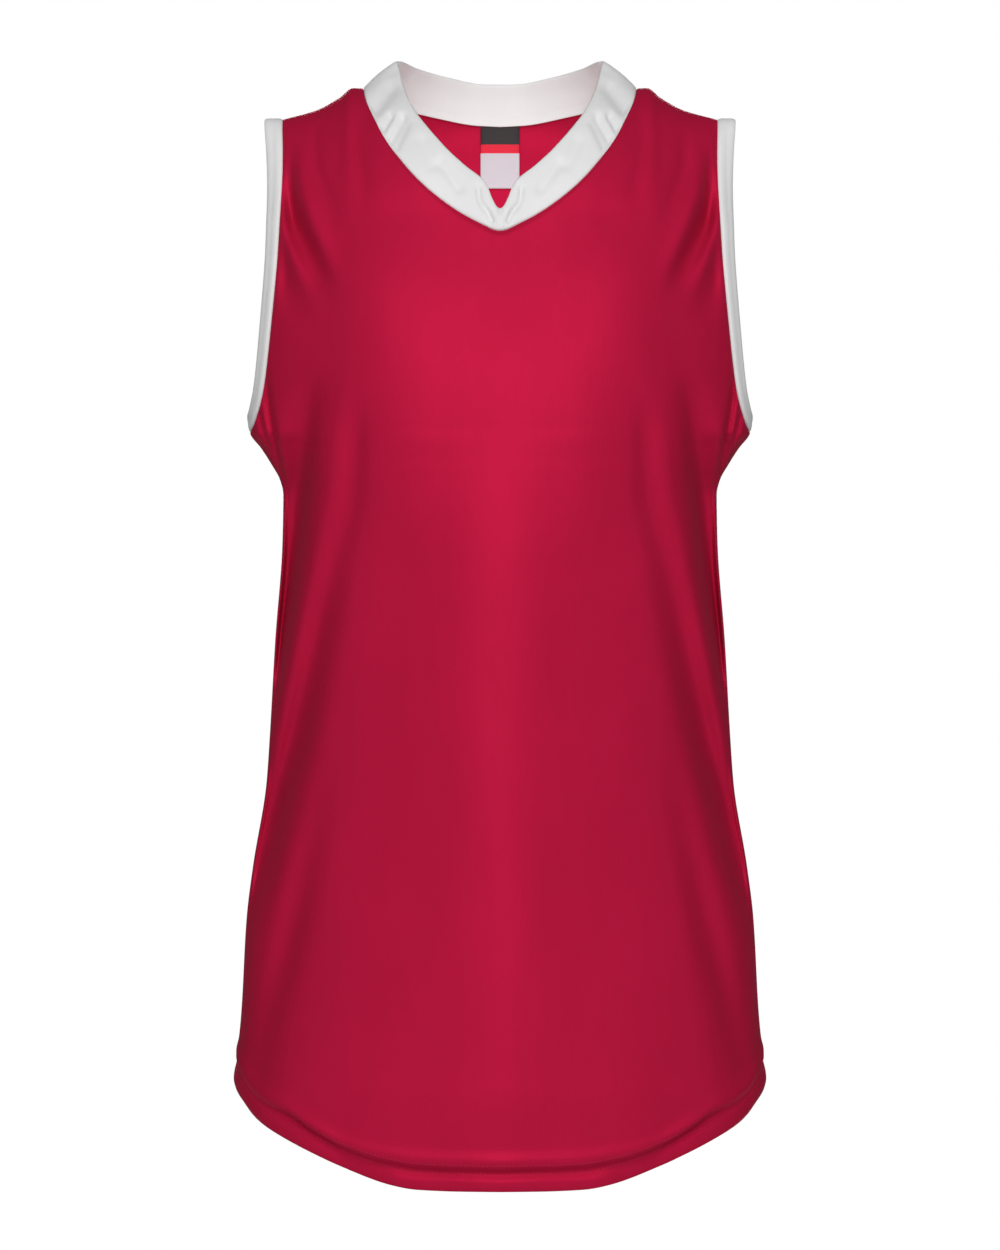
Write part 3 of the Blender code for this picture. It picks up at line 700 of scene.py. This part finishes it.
def stitch_tree():
    """Thread stitches, one after another, along every path of the mesh that it is given."""
    tree = bpy.data.node_groups.new("thread_stitches", "GeometryNodeTree")
    names = {"Geometry": node_socket(tree, "Geometry", "NodeSocketGeometry")}
    for name, value in (("Pitch", 0.0028), ("Stitch Length", 0.0024), ("Thread", 0.0004),
                        ("Slant", 0.0)):
        names[name] = node_socket(tree, name, "NodeSocketFloat", value)
    names["Material"] = node_socket(tree, "Material", "NodeSocketMaterial")
    tree.interface.new_socket(name="Geometry", in_out="OUTPUT", socket_type="NodeSocketGeometry")
    given = tree.nodes.new("NodeGroupInput").outputs
    path = add_node(tree, "GeometryNodeMeshToCurve", Mesh=given["Geometry"]).outputs[0]
    points = add_node(tree, "GeometryNodeResampleCurve", {"mode": "LENGTH"}, Curve=path,
                      Length=given["Pitch"])
    outward = add_node(tree, "GeometryNodeInputNamedAttribute", {"data_type": "FLOAT_VECTOR"},
                       Name="outward")
    along = tree.nodes.new("GeometryNodeInputTangent").outputs[0]
    facing = add_node(tree, "FunctionNodeAxesToRotation", {"primary_axis": "Y", "secondary_axis": "Z"})
    tree.links.new(outward.outputs[0], facing.inputs[0])
    tree.links.new(along, facing.inputs[1])
    # Every other stitch slants the other way, which makes a zigzag of them.
    parity = calculate(tree, "MODULO", tree.nodes.new("GeometryNodeInputIndex").outputs[0], 2.0)
    side = calculate(tree, "SUBTRACT", calculate(tree, "MULTIPLY", parity, 2.0), 1.0)
    turn = add_node(tree, "ShaderNodeCombineXYZ", Y=calculate(tree, "MULTIPLY", side, given["Slant"]))
    turned = add_node(tree, "FunctionNodeRotateRotation", {"rotation_space": "LOCAL"})
    spin = tree.nodes.new("FunctionNodeEulerToRotation")
    tree.links.new(turn.outputs[0], spin.inputs[0])
    tree.links.new(facing.outputs[0], turned.inputs[0])
    tree.links.new(spin.outputs[0], turned.inputs[1])
    bead = add_node(tree, "GeometryNodeMeshUVSphere", Segments=6, Rings=5, Radius=0.5).outputs["Mesh"]
    size = add_node(tree, "ShaderNodeCombineXYZ", X=given["Thread"], Y=given["Thread"],
                    Z=given["Stitch Length"]).outputs[0]
    row = add_node(tree, "GeometryNodeInstanceOnPoints", Points=points.outputs[0], Instance=bead,
                   Rotation=turned.outputs[0], Scale=size).outputs[0]
    real = add_node(tree, "GeometryNodeRealizeInstances", Geometry=row).outputs[0]
    smooth = add_node(tree, "GeometryNodeSetShadeSmooth", Geometry=real).outputs[0]
    finished = add_node(tree, "GeometryNodeSetMaterial", Geometry=smooth, Material=given["Material"])
    end = tree.nodes.new("NodeGroupOutput")
    tree.links.new(finished.outputs[0], end.inputs[0])
    return tree, names


STITCHES, STITCH_INPUTS = stitch_tree()


def sew(name, paths, pitch, length, material, slant=0.0):
    """Stitches along paths. Each is its points, which way the cloth faces there, and if it closes."""
    points, edges, outward = [], [], []
    for line, normals, closed in paths:
        start = len(points)
        points += (line * MM).tolist()
        outward += normals.tolist()
        edges += [(start + i, start + i + 1) for i in range(len(line) - 1)]
        if closed:
            edges.append((start + len(line) - 1, start))
    mesh = bpy.data.meshes.new(name + "_path")
    mesh.from_pydata(points, edges, [])
    mesh.attributes.new("outward", "FLOAT_VECTOR", "POINT").data.foreach_set(
        "vector", np.array(outward).ravel())
    path = add_object(name + "_path", mesh)
    modifier = path.modifiers.new("Stitches", "NODES")
    modifier.node_group = STITCHES
    for key, value in (("Pitch", pitch * MM), ("Stitch Length", length * MM),
                       ("Thread", THREAD * MM), ("Slant", np.radians(slant)),
                       ("Material", material)):
        modifier[STITCH_INPUTS[key]] = value
    made = path.evaluated_get(bpy.context.evaluated_depsgraph_get())
    thread_mesh = bpy.data.meshes.new_from_object(made)
    bpy.data.objects.remove(path)
    return add_piece(name, thread_mesh)


def thread_material(name, colour):
    """Twisted polyester thread with a soft shine."""
    material, tree, shader = new_material(name, {
        "Base Color": (*colour, 1.0),
        "Roughness": 0.45,
        "Specular IOR Level": 0.3,
    })
    place = add_node(tree, "ShaderNodeTexCoord").outputs["Object"]
    twist = add_node(tree, "ShaderNodeTexWave", Vector=place, Scale=900.0, Distortion=2.0)
    bump = add_node(tree, "ShaderNodeBump", Strength=0.5, Distance=0.00005, Height=twist.outputs[1])
    tree.links.new(bump.outputs[0], shader.inputs["Normal"])
    return material


red_thread = thread_material("red_thread", (0.43, 0.009, 0.043))


def hem_path(height, depth):
    """A ring round the hem at a height above its edge and a depth behind its outer face."""
    row = np.interp(height, HEM_ROWS, range(len(HEM_ROWS)))
    low, part = int(row), row - int(row)
    ring, facing = [], []
    for grid, order in ((front_grid, slice(None)), (back_grid, slice(-2, 0, -1))):
        normals = outward_normals(grid)
        line = grid[low] * (1 - part) + grid[low + 1] * part
        ring.append((line - normals[low] * depth)[order])
        facing.append(normals[low][order])
    return np.concatenate(ring), np.concatenate(facing), True


hem_thread = sew("hem_coverstitch", [hem_path(height, -HEM_STITCH_PROUD) for height in HEM_NEEDLES],
                 HEM_PITCH, HEM_STITCH, red_thread)
looper = sew("hem_looper", [hem_path(sum(HEM_NEEDLES) / 2, HEM_THICKNESS + LOOPER_CLEAR)],
             LOOPER_PITCH, LOOPER_LENGTH, red_thread, LOOPER_SLANT)

# ----------------------------------------------------------------------------
# Neck band. One strip of white knit, cut 65 mm wide, is folded double and overlocked to the
# neck, seam inwards. It stands up round the neck, and at the centre front its two ends are
# rounded off above a short seam, which leaves a small notch.
# ----------------------------------------------------------------------------

BAND_THICKNESS = 1.9
NECK_BAND_PUFF = 1.6  # how far the band's middle stands out
NECK_STRIP_WIDTH = 32.5  # folded

# The band's free edge from its seam: inboard of it, above it and behind it. The share is 0 at
# the centre front, 0.5 at the shoulder seam and 1 at the centre back.
NECK_BAND_EDGE = columns(
    "share inboard rise behind",
    (0.0, 0.0, 15.2, 4.0),
    (0.005, 0.4, 15.4, 4.0),
    (0.013, 1.2, 17.6, 4.6),
    (0.022, 1.9, 21.2, 6.0),
    (0.032, 2.8, 25.4, 8.0),
    (0.045, 3.6, 28.2, 9.0),
    (0.07, 4.8, 29.4, 10.5),
    (0.10, 7.0, 29.3, 11.5),
    (0.14, 10.3, 28.2, 12.0),
    (0.19, 14.2, 26.0, 12.5),
    (0.28, 18.0, 21.8, 13.0),
    (0.38, 22.0, 16.2, 11.5),
    (0.45, 23.6, 14.8, 7.0),
    (0.5, 21.9, 18.7, 1.0),
    (0.58, 21.5, 21.0, -5.0),
    (0.68, 19.0, 22.0, -5.0),
    (0.85, 9.0, 24.0, -8.0),
    (1.0, 0.0, 25.5, -8.5),
)

# Round a folded strip, as shares: how far it has climbed from its seam to its folded edge, and how
# deep in its thickness. First comes the outer face, then the inner one, where stitches press a
# ditch just above the seam, and last the raw edges, a little behind the panel.
STRIP_DITCH = (0.11, 0.8)
STRIP_SECTION = (
    (0.0, 0.5), (0.02, 0.28), (0.05, 0.1), (0.1, 0.02),
    *((climbed, 0.0) for climbed in np.linspace(0.14, 0.83, 17)),
    (0.87, 0.02), (0.94, 0.08), (0.98, 0.22), (1.0, 0.5), (0.98, 0.78), (0.94, 0.93), (0.87, 0.98),
    (0.75, 1.0), (0.6, 1.0), (0.45, 1.0), (0.3, 1.0), (0.17, 0.99), STRIP_DITCH, (0.06, 1.04),
    (0.0, 1.15), (-0.06, 1.3), (-0.075, 1.2), (-0.05, 1.05), (0.0, 0.8),
)

WHITE = (0.675, 0.675, 0.675)
DEEP_WHITE = (0.65, 0.65, 0.652)
WHITE_RELIEF = 0.00005
white_knit = knit_material("white_knit", WHITE, DEEP_WHITE, WHITE_RELIEF, {
    "Roughness": 0.7,
    "Specular IOR Level": 0.25,
    "Sheen Weight": 0.1,
    "Sheen Roughness": 0.5,
})


def strip_piece(name, section, width):
    """A closed tube of white knit from rings of points, [place in the section, place along]."""
    around, along = section.shape[:2]
    index = np.arange(around * along).reshape(around, along)
    index = np.concatenate([index, index[:1]], axis=0)
    index = np.concatenate([index, index[:, :1]], axis=1)
    faces = np.stack([index[:-1, :-1], index[:-1, 1:], index[1:, 1:], index[1:, :-1]], axis=-1)
    faces = faces.reshape(-1, 4)
    mesh = bpy.data.meshes.new(name)
    mesh.from_pydata((section.reshape(-1, 3) * MM).tolist(), [], faces.tolist())
    climbed = np.array([climbed for climbed, _ in STRIP_SECTION] + [0.0]) * width
    reach = length_along(section[0])
    reach = np.append(reach, reach[-1] + np.linalg.norm(section[0, 0] - section[0, -1]))
    uv = np.stack([np.broadcast_to(reach, (around + 1, along + 1)),
                   np.broadcast_to(climbed[:, None], (around + 1, along + 1))], axis=-1) * MM
    corners = np.stack([uv[:-1, :-1], uv[:-1, 1:], uv[1:, 1:], uv[1:, :-1]], axis=2)
    mesh.uv_layers.new(name="cloth").uv.foreach_set("vector", corners.ravel())
    # The faces point outwards when they enclose a positive volume.
    corner = section.reshape(-1, 3)[faces]
    volume = (np.cross(corner[:, 0], corner[:, 1]) * corner[:, 2]).sum()
    volume += (np.cross(corner[:, 0], corner[:, 2]) * corner[:, 3]).sum()
    if volume < 0:
        mesh.flip_normals()
    mesh.shade_smooth()
    mesh.materials.append(white_knit)
    return add_piece(name, mesh)


# Creases in the band, the same on both sides: each its width, its depth and its line, as points
# across from the centre and down from the origin, seen from the front.
NECK_CREASES = {
    "groove beside the notch": (2.0, 2.4, (13.8, 74.0), (13.4, 79.7), (12.1, 84.1), (7.7, 89.9), (5.7, 95.0)),
    "seam below the notch": (1.1, 0.8, (0.0, 84.0), (0.0, 90.0)),
    "fold at the front": (3.6, 2.0, (38.0, 57.0), (32.0, 65.0), (26.5, 74.0)),
    "fold further up": (4.5, 1.5, (50.0, 42.0), (44.0, 58.0)),
    "first pleat by the shoulder": (2.8, 3.2, (78.0, 35.0), (71.5, 23.0)),
    "second pleat by the shoulder": (2.8, 3.4, (72.0, 41.5), (63.5, 24.5)),
    "third pleat by the shoulder": (3.0, 2.0, (68.0, 46.0), (60.5, 29.0)),
    "hollow at the shoulder": (6.0, 3.2, (81.0, 16.0), (72.0, 2.0)),
}
CREASE_START = 12  # the creases reach their depth over a twelfth of the band's width


def distance_to_line(points, line):
    """From points to a line of straight pieces, both seen from the front."""
    nearest = np.full(points.shape[:-1], np.inf)
    for start, end in zip(line[:-1], line[1:]):
        run = end - start
        share = np.clip(((points - start) @ run) / (run @ run), 0, 1)
        nearest = np.minimum(nearest, np.linalg.norm(points - start - share[..., None] * run, axis=-1))
    return nearest


def half_neck_seam(front, back):
    """From the centre front over the right shoulder to the centre back."""
    return np.concatenate([front[-1, : NECK_COLUMNS + 1], back[-1, NECK_COLUMNS - 1 :: -1]])


def cut_finer(line, cuts):
    """The same line with each of its straight pieces cut into equal lengths."""
    finer = []
    for start, end, count in zip(line, line[1:], cuts):
        finer += [start + (end - start) * i / count for i in range(count)]
    return np.array(finer + [line[-1]])


def full_ring(half_line, axis):
    """A ring from its right half, which starts and ends on the centre line."""
    middle = (slice(None),) * axis + (slice(-2, 0, -1),)
    return np.concatenate([half_line, half_line[middle] * (-1, 1, 1)], axis=axis)


# The first lengths of the seam lie round the notch, where the band turns most sharply.
NOTCH_LENGTHS = 8
NOTCH_CUTS = 4
OTHER_CUTS = 2
BAND_ROWS = 8
seam = half_neck_seam(front_half, back_half)
cuts = [NOTCH_CUTS] * NOTCH_LENGTHS + [OTHER_CUTS] * (len(seam) - 1 - NOTCH_LENGTHS)
seam = cut_finer(seam, cuts)
seam_normals = unit(cut_finer(half_neck_seam(front_normals, back_normals), cuts))
length = length_along(seam)
share = np.interp(length, (0, length[np.argmax(seam[:, 0])], length[-1]), (0, 0.5, 1))
inboard, rise, behind = read_off(NECK_BAND_EDGE, share)
free_edge = seam + np.stack([-inboard, behind, rise], axis=-1)
seam_outward = unit(seam * (1, 1, 0))


def band_place(climbed):
    """Where the band's face is at a share of the way up from its seam."""
    return seam + (free_edge - seam) * climbed + seam_outward * NECK_BAND_PUFF * np.sin(np.pi * climbed)


band_normals = outward_normals(band_place(np.linspace(0, 1, BAND_ROWS + 1)[:, None, None]))
band_normals[:, (0, -1), 0] = 0
band_normals = unit(band_normals)
band_normals[0] = unit(band_normals[0] + seam_normals)
rings = []
for climbed, depth in STRIP_SECTION:
    base = band_place(climbed)
    row = max(climbed, 0) * BAND_ROWS
    low = min(int(row), BAND_ROWS - 1)
    normal = unit(band_normals[low] * (low + 1 - row) + band_normals[low + 1] * (row - low))
    dent = np.zeros(len(base))
    seen = np.stack([base[:, 0], -base[:, 2]], axis=-1)
    for crease_width, crease_depth, *line in NECK_CREASES.values():
        away = distance_to_line(seen, np.array(line))
        dent = dent + crease_depth * np.exp(-((away / crease_width) ** 2))
    dent = np.where(base[:, 1] < 0, dent, 0.0) * ease(climbed * CREASE_START)
    rings.append(base - normal * (depth * BAND_THICKNESS + dent)[:, None])
neck_rings = full_ring(np.array(rings), 1)
neck_piece = strip_piece("neck_band_cloth", neck_rings, NECK_STRIP_WIDTH)
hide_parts("neck_band")

# A row of white stitches holds the band's seam down inside the back neck, and two short rows
# close the seam below the notch.
white_thread = thread_material("white_thread", (0.72, 0.72, 0.72))
NECK_PITCH = 2.6
NECK_STITCH = 2.2
OUTER_RING = 3  # across the band from the ditch
BACK_ROW_FROM = 10.0  # the row inside the back neck starts and ends this far behind the origin
NOTCH_ROW_ACROSS = 1.9
NOTCH_ROW_PROUD = 0.1
NOTCH_ROW_RINGS = slice(5, 18)
ditch = neck_rings[STRIP_SECTION.index(STRIP_DITCH)]
facing = unit(ditch - neck_rings[OUTER_RING])
back_of_neck = ditch[:, 1] > BACK_ROW_FROM
seam_rows = [(ditch[back_of_neck], facing[back_of_neck], False)]
quarter = neck_rings.shape[1] // 4
beside = np.argmin(np.abs(neck_rings[OUTER_RING + 1, :quarter, 0] - NOTCH_ROW_ACROSS))
for column in (beside, -beside):
    line = neck_rings[NOTCH_ROW_RINGS, column] + (0, -NOTCH_ROW_PROUD, 0)
    seam_rows.append((line, np.tile((0.0, -1.0, 0.0), (len(line), 1)), False))
neck_thread = sew("neck_seam_stitches", seam_rows, NECK_PITCH, NECK_STITCH, white_thread)

# ----------------------------------------------------------------------------
# Armhole bands. A strip of the same white knit is folded double and sewn round each armhole
# with the folded edge outwards, 12 mm wide, so it stands out level over the shoulder.
# ----------------------------------------------------------------------------

ARM_BAND_WIDTH = 12.3
ARM_BAND_FLAT = 20.0  # the band stands out level at the shoulder and no longer does this far below
ARM_BAND_CROWN = 0.8
ARM_BAND_GROOVE = 0.35
ARM_BAND_GROOVE_WIDTH = 0.17  # as a share of the band's width


def armhole_ring(front, back):
    """From the underarm up the front edge, over the shoulder and down the back edge."""
    return np.concatenate([front[UNDERARM_ROW:, -1], back[-2:UNDERARM_ROW:-1, -1]])


# The bands keep the direction of the plain form, so they do not turn with each fold beside them.
plain_front, plain_back = (half_panel(half._replace(folds={})) for half in (FRONT, BACK))
plain_front_normals, plain_back_normals = outward_normals(plain_front), outward_normals(plain_back)
share_seam_normals(plain_front_normals, plain_back_normals)


def make_armhole_band(name, node, side):
    """The band carries the panels' surface on past their armhole seam, its raw edges trimmed."""
    seam = armhole_ring(front_half, back_half)
    plain_seam = armhole_ring(plain_front, plain_back)
    normals = unit(armhole_ring(plain_front_normals, plain_back_normals))
    along = np.roll(plain_seam, -1, axis=0) - np.roll(plain_seam, 1, axis=0)
    away = unit(np.cross(along, normals))
    away *= np.sign(((plain_seam.mean(axis=0) - plain_seam) * away).sum())
    at_shoulder = ease((seam[:, 2] - seam[:, 2].max()) / ARM_BAND_FLAT + 1)
    away = unit(away - away * (0, 0, 1) * at_shoulder[:, None])
    rings = []
    for climbed, depth in STRIP_SECTION:
        groove = np.exp(-(((climbed - 0.5) / ARM_BAND_GROOVE_WIDTH) ** 2))
        crown = ARM_BAND_CROWN * np.sin(np.pi * climbed) - ARM_BAND_GROOVE * groove
        crown *= 1 - 2 * depth
        inwards = normals * (depth * BAND_THICKNESS - crown)
        rings.append(seam + away * ARM_BAND_WIDTH * max(climbed, 0) - inwards)
    piece = strip_piece(name, np.array(rings) * (side, 1, 1), ARM_BAND_WIDTH)
    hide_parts(node)
    return piece


left_band = make_armhole_band("armhole_band_left_cloth", "armhole_band_left", -1)
right_band = make_armhole_band("armhole_band_right_cloth", "armhole_band_right", 1)

# ----------------------------------------------------------------------------
# Label. A blank woven satin tape, 26.5 by 43 mm, caught in the back neck seam along its top.
# It has a charcoal block, a narrow red strip and a pale block, with no words.
# ----------------------------------------------------------------------------

LABEL_WIDTH = 26.5
LABEL_LENGTH = 43.0
LABEL_IN = 1.7  # behind the back panel's outer face
LABEL_THICKNESS = 0.35
LABEL_CURL = 0.5  # how far its side edges curl off the cloth
LABEL_CURL_POWER = 6  # how close to the edges that stays
LABEL_COLUMNS = 25
LABEL_ROWS = 35
LABEL_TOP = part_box("neck_label")[1][2] / MM + 0.7  # up under the band's edge

label_x = np.linspace(-LABEL_WIDTH / 2, LABEL_WIDTH / 2, LABEL_COLUMNS)
label_z = np.linspace(LABEL_TOP - LABEL_LENGTH, LABEL_TOP, LABEL_ROWS)
x_grid, z_grid = np.meshgrid(label_x, label_z)
turns = np.arcsin(np.abs(x_grid) / half_width_at(-z_grid))
label_face = cloth(BACK, turns, z_grid)
label_face[..., 0] = x_grid
label_normals = outward_normals(label_face)
label_outer = label_face - label_normals * LABEL_IN
curl = (np.abs(x_grid) / (LABEL_WIDTH / 2)) ** LABEL_CURL_POWER * LABEL_CURL
label_outer = label_outer - label_normals * curl[..., None]
label_inner = label_outer - label_normals * LABEL_THICKNESS
label_uv = np.stack([(x_grid / LABEL_WIDTH) + 0.5, (z_grid - LABEL_TOP) / LABEL_LENGTH + 1], axis=-1)

tape, tape_tree, tape_shader = new_material("label_satin", {"Roughness": 0.5, "Specular IOR Level": 0.25})
tape_uv = add_node(tape_tree, "ShaderNodeUVMap").outputs[0]
tape_split = add_node(tape_tree, "ShaderNodeSeparateXYZ", Vector=tape_uv)
blocks = add_node(tape_tree, "ShaderNodeValToRGB", Fac=tape_split.outputs["Y"])
blocks.color_ramp.interpolation = "CONSTANT"
pale, strip = blocks.color_ramp.elements
pale.position, pale.color = 0.0, (0.50, 0.47, 0.51, 1.0)
strip.position, strip.color = 0.55, (0.62, 0.006, 0.030, 1.0)
blocks.color_ramp.elements.new(0.69).color = (0.022, 0.018, 0.019, 1.0)
tape_tree.links.new(blocks.outputs[0], tape_shader.inputs["Base Color"])
tape_weave = add_node(tape_tree, "ShaderNodeTexWave", {"bands_direction": "Y"}, Vector=tape_uv, Scale=60.0)
tape_bump = add_node(tape_tree, "ShaderNodeBump", Strength=0.4, Distance=0.00005,
                     Height=tape_weave.outputs[1])
tape_tree.links.new(tape_bump.outputs[0], tape_shader.inputs["Normal"])

label_piece = wall_piece("neck_label_tape", label_inner, label_outer, label_uv, tape)
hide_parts("neck_label")
# The three bands are cut twice as wide and folded, and only the folded width is stated.

# ----------------------------------------------------------------------------
# The studio. A plain pale floor lies well below. Soft light comes from the front, above, both
# sides and behind, and a small lamp in the hollow of the chest lights the inner back. The camera
# is straight in front of the jersey, level with its middle.
# ----------------------------------------------------------------------------

CAMERA_DISTANCE = 3.0
CAMERA_HEIGHT = -0.354
PICTURE_HEIGHT = 0.825  # how much of the jersey's own plane the picture spans
SENSOR = 36.0
FLOOR_HEIGHT = -1.30
FLOOR_X = 5.0
FLOOR_Y = 3.4

camera = bpy.data.cameras.new("camera")
camera.sensor_fit = "VERTICAL"
camera.sensor_height = SENSOR
camera.lens = SENSOR * CAMERA_DISTANCE / PICTURE_HEIGHT
viewer = add_object("camera", camera)
viewer.location = (0, -CAMERA_DISTANCE, CAMERA_HEIGHT)
viewer.rotation_euler = (np.pi / 2, 0, 0)
bpy.context.scene.camera = viewer

floor_mesh = bpy.data.meshes.new("floor")
floor_corners = [(x * FLOOR_X, y * FLOOR_Y, FLOOR_HEIGHT) for x, y in ((-1, -1), (1, -1), (1, 1), (-1, 1))]
floor_mesh.from_pydata(floor_corners, [], [(0, 1, 2, 3)])
floor_paint, _, _ = new_material("pale_floor", {"Base Color": (0.8, 0.8, 0.8, 1), "Roughness": 0.9})
floor_mesh.materials.append(floor_paint)
floor = add_object("floor", floor_mesh)

Softbox = namedtuple("Softbox", "name place aim width height watts")
SOFTBOXES = (
    Softbox("key", (0, -3.4, 0.55), (0, 0, -0.3), 1.3, 1.0, 66),
    Softbox("above", (0, -2.3, 1.7), (0, 0, -0.15), 3.0, 1.0, 40),
    Softbox("inside", (0, -0.045, -0.2), (0, 0.09, -0.02), 0.1, 0.06, 0.24),
    Softbox("left", (-2.4, -0.9, -0.1), (0, 0, -0.35), 0.7, 1.8, 5),
    Softbox("right", (2.4, -0.9, -0.1), (0, 0, -0.35), 0.7, 1.8, 5),
    Softbox("behind", (0, 3.2, 0.5), (0, 0, -0.35), 1.8, 1.4, 60),
)


def turned_to(place, aim):
    """The rotation that points a lamp at place towards aim."""
    return (Vector(aim) - Vector(place)).to_track_quat("-Z", "Y").to_euler()


for box in SOFTBOXES:
    lamp = bpy.data.lights.new(box.name, "AREA")
    lamp.shape = "RECTANGLE"
    lamp.size, lamp.size_y, lamp.energy = box.width, box.height, box.watts
    light = add_object(box.name, lamp)
    light.location = box.place
    light.rotation_euler = turned_to(box.place, box.aim)
    light.visible_camera = False

world = bpy.data.worlds.new("studio")
bpy.context.scene.world = world
world.use_nodes = True
sky = world.node_tree
backdrop = sky.nodes["Background"]
backdrop.inputs["Color"].default_value = (1, 1, 1, 1)
backdrop.inputs["Strength"].default_value = 1.0
fill = add_node(sky, "ShaderNodeBackground", Color=(1, 1, 1, 1), Strength=0.09)
seen = sky.nodes.new("ShaderNodeLightPath").outputs["Is Camera Ray"]
both = add_node(sky, "ShaderNodeMixShader", Fac=seen)
sky.links.new(fill.outputs[0], both.inputs[1])
sky.links.new(backdrop.outputs[0], both.inputs[2])
sky.links.new(both.outputs[0], sky.nodes["World Output"].inputs[0])
bpy.context.scene.view_settings.view_transform = "Standard"
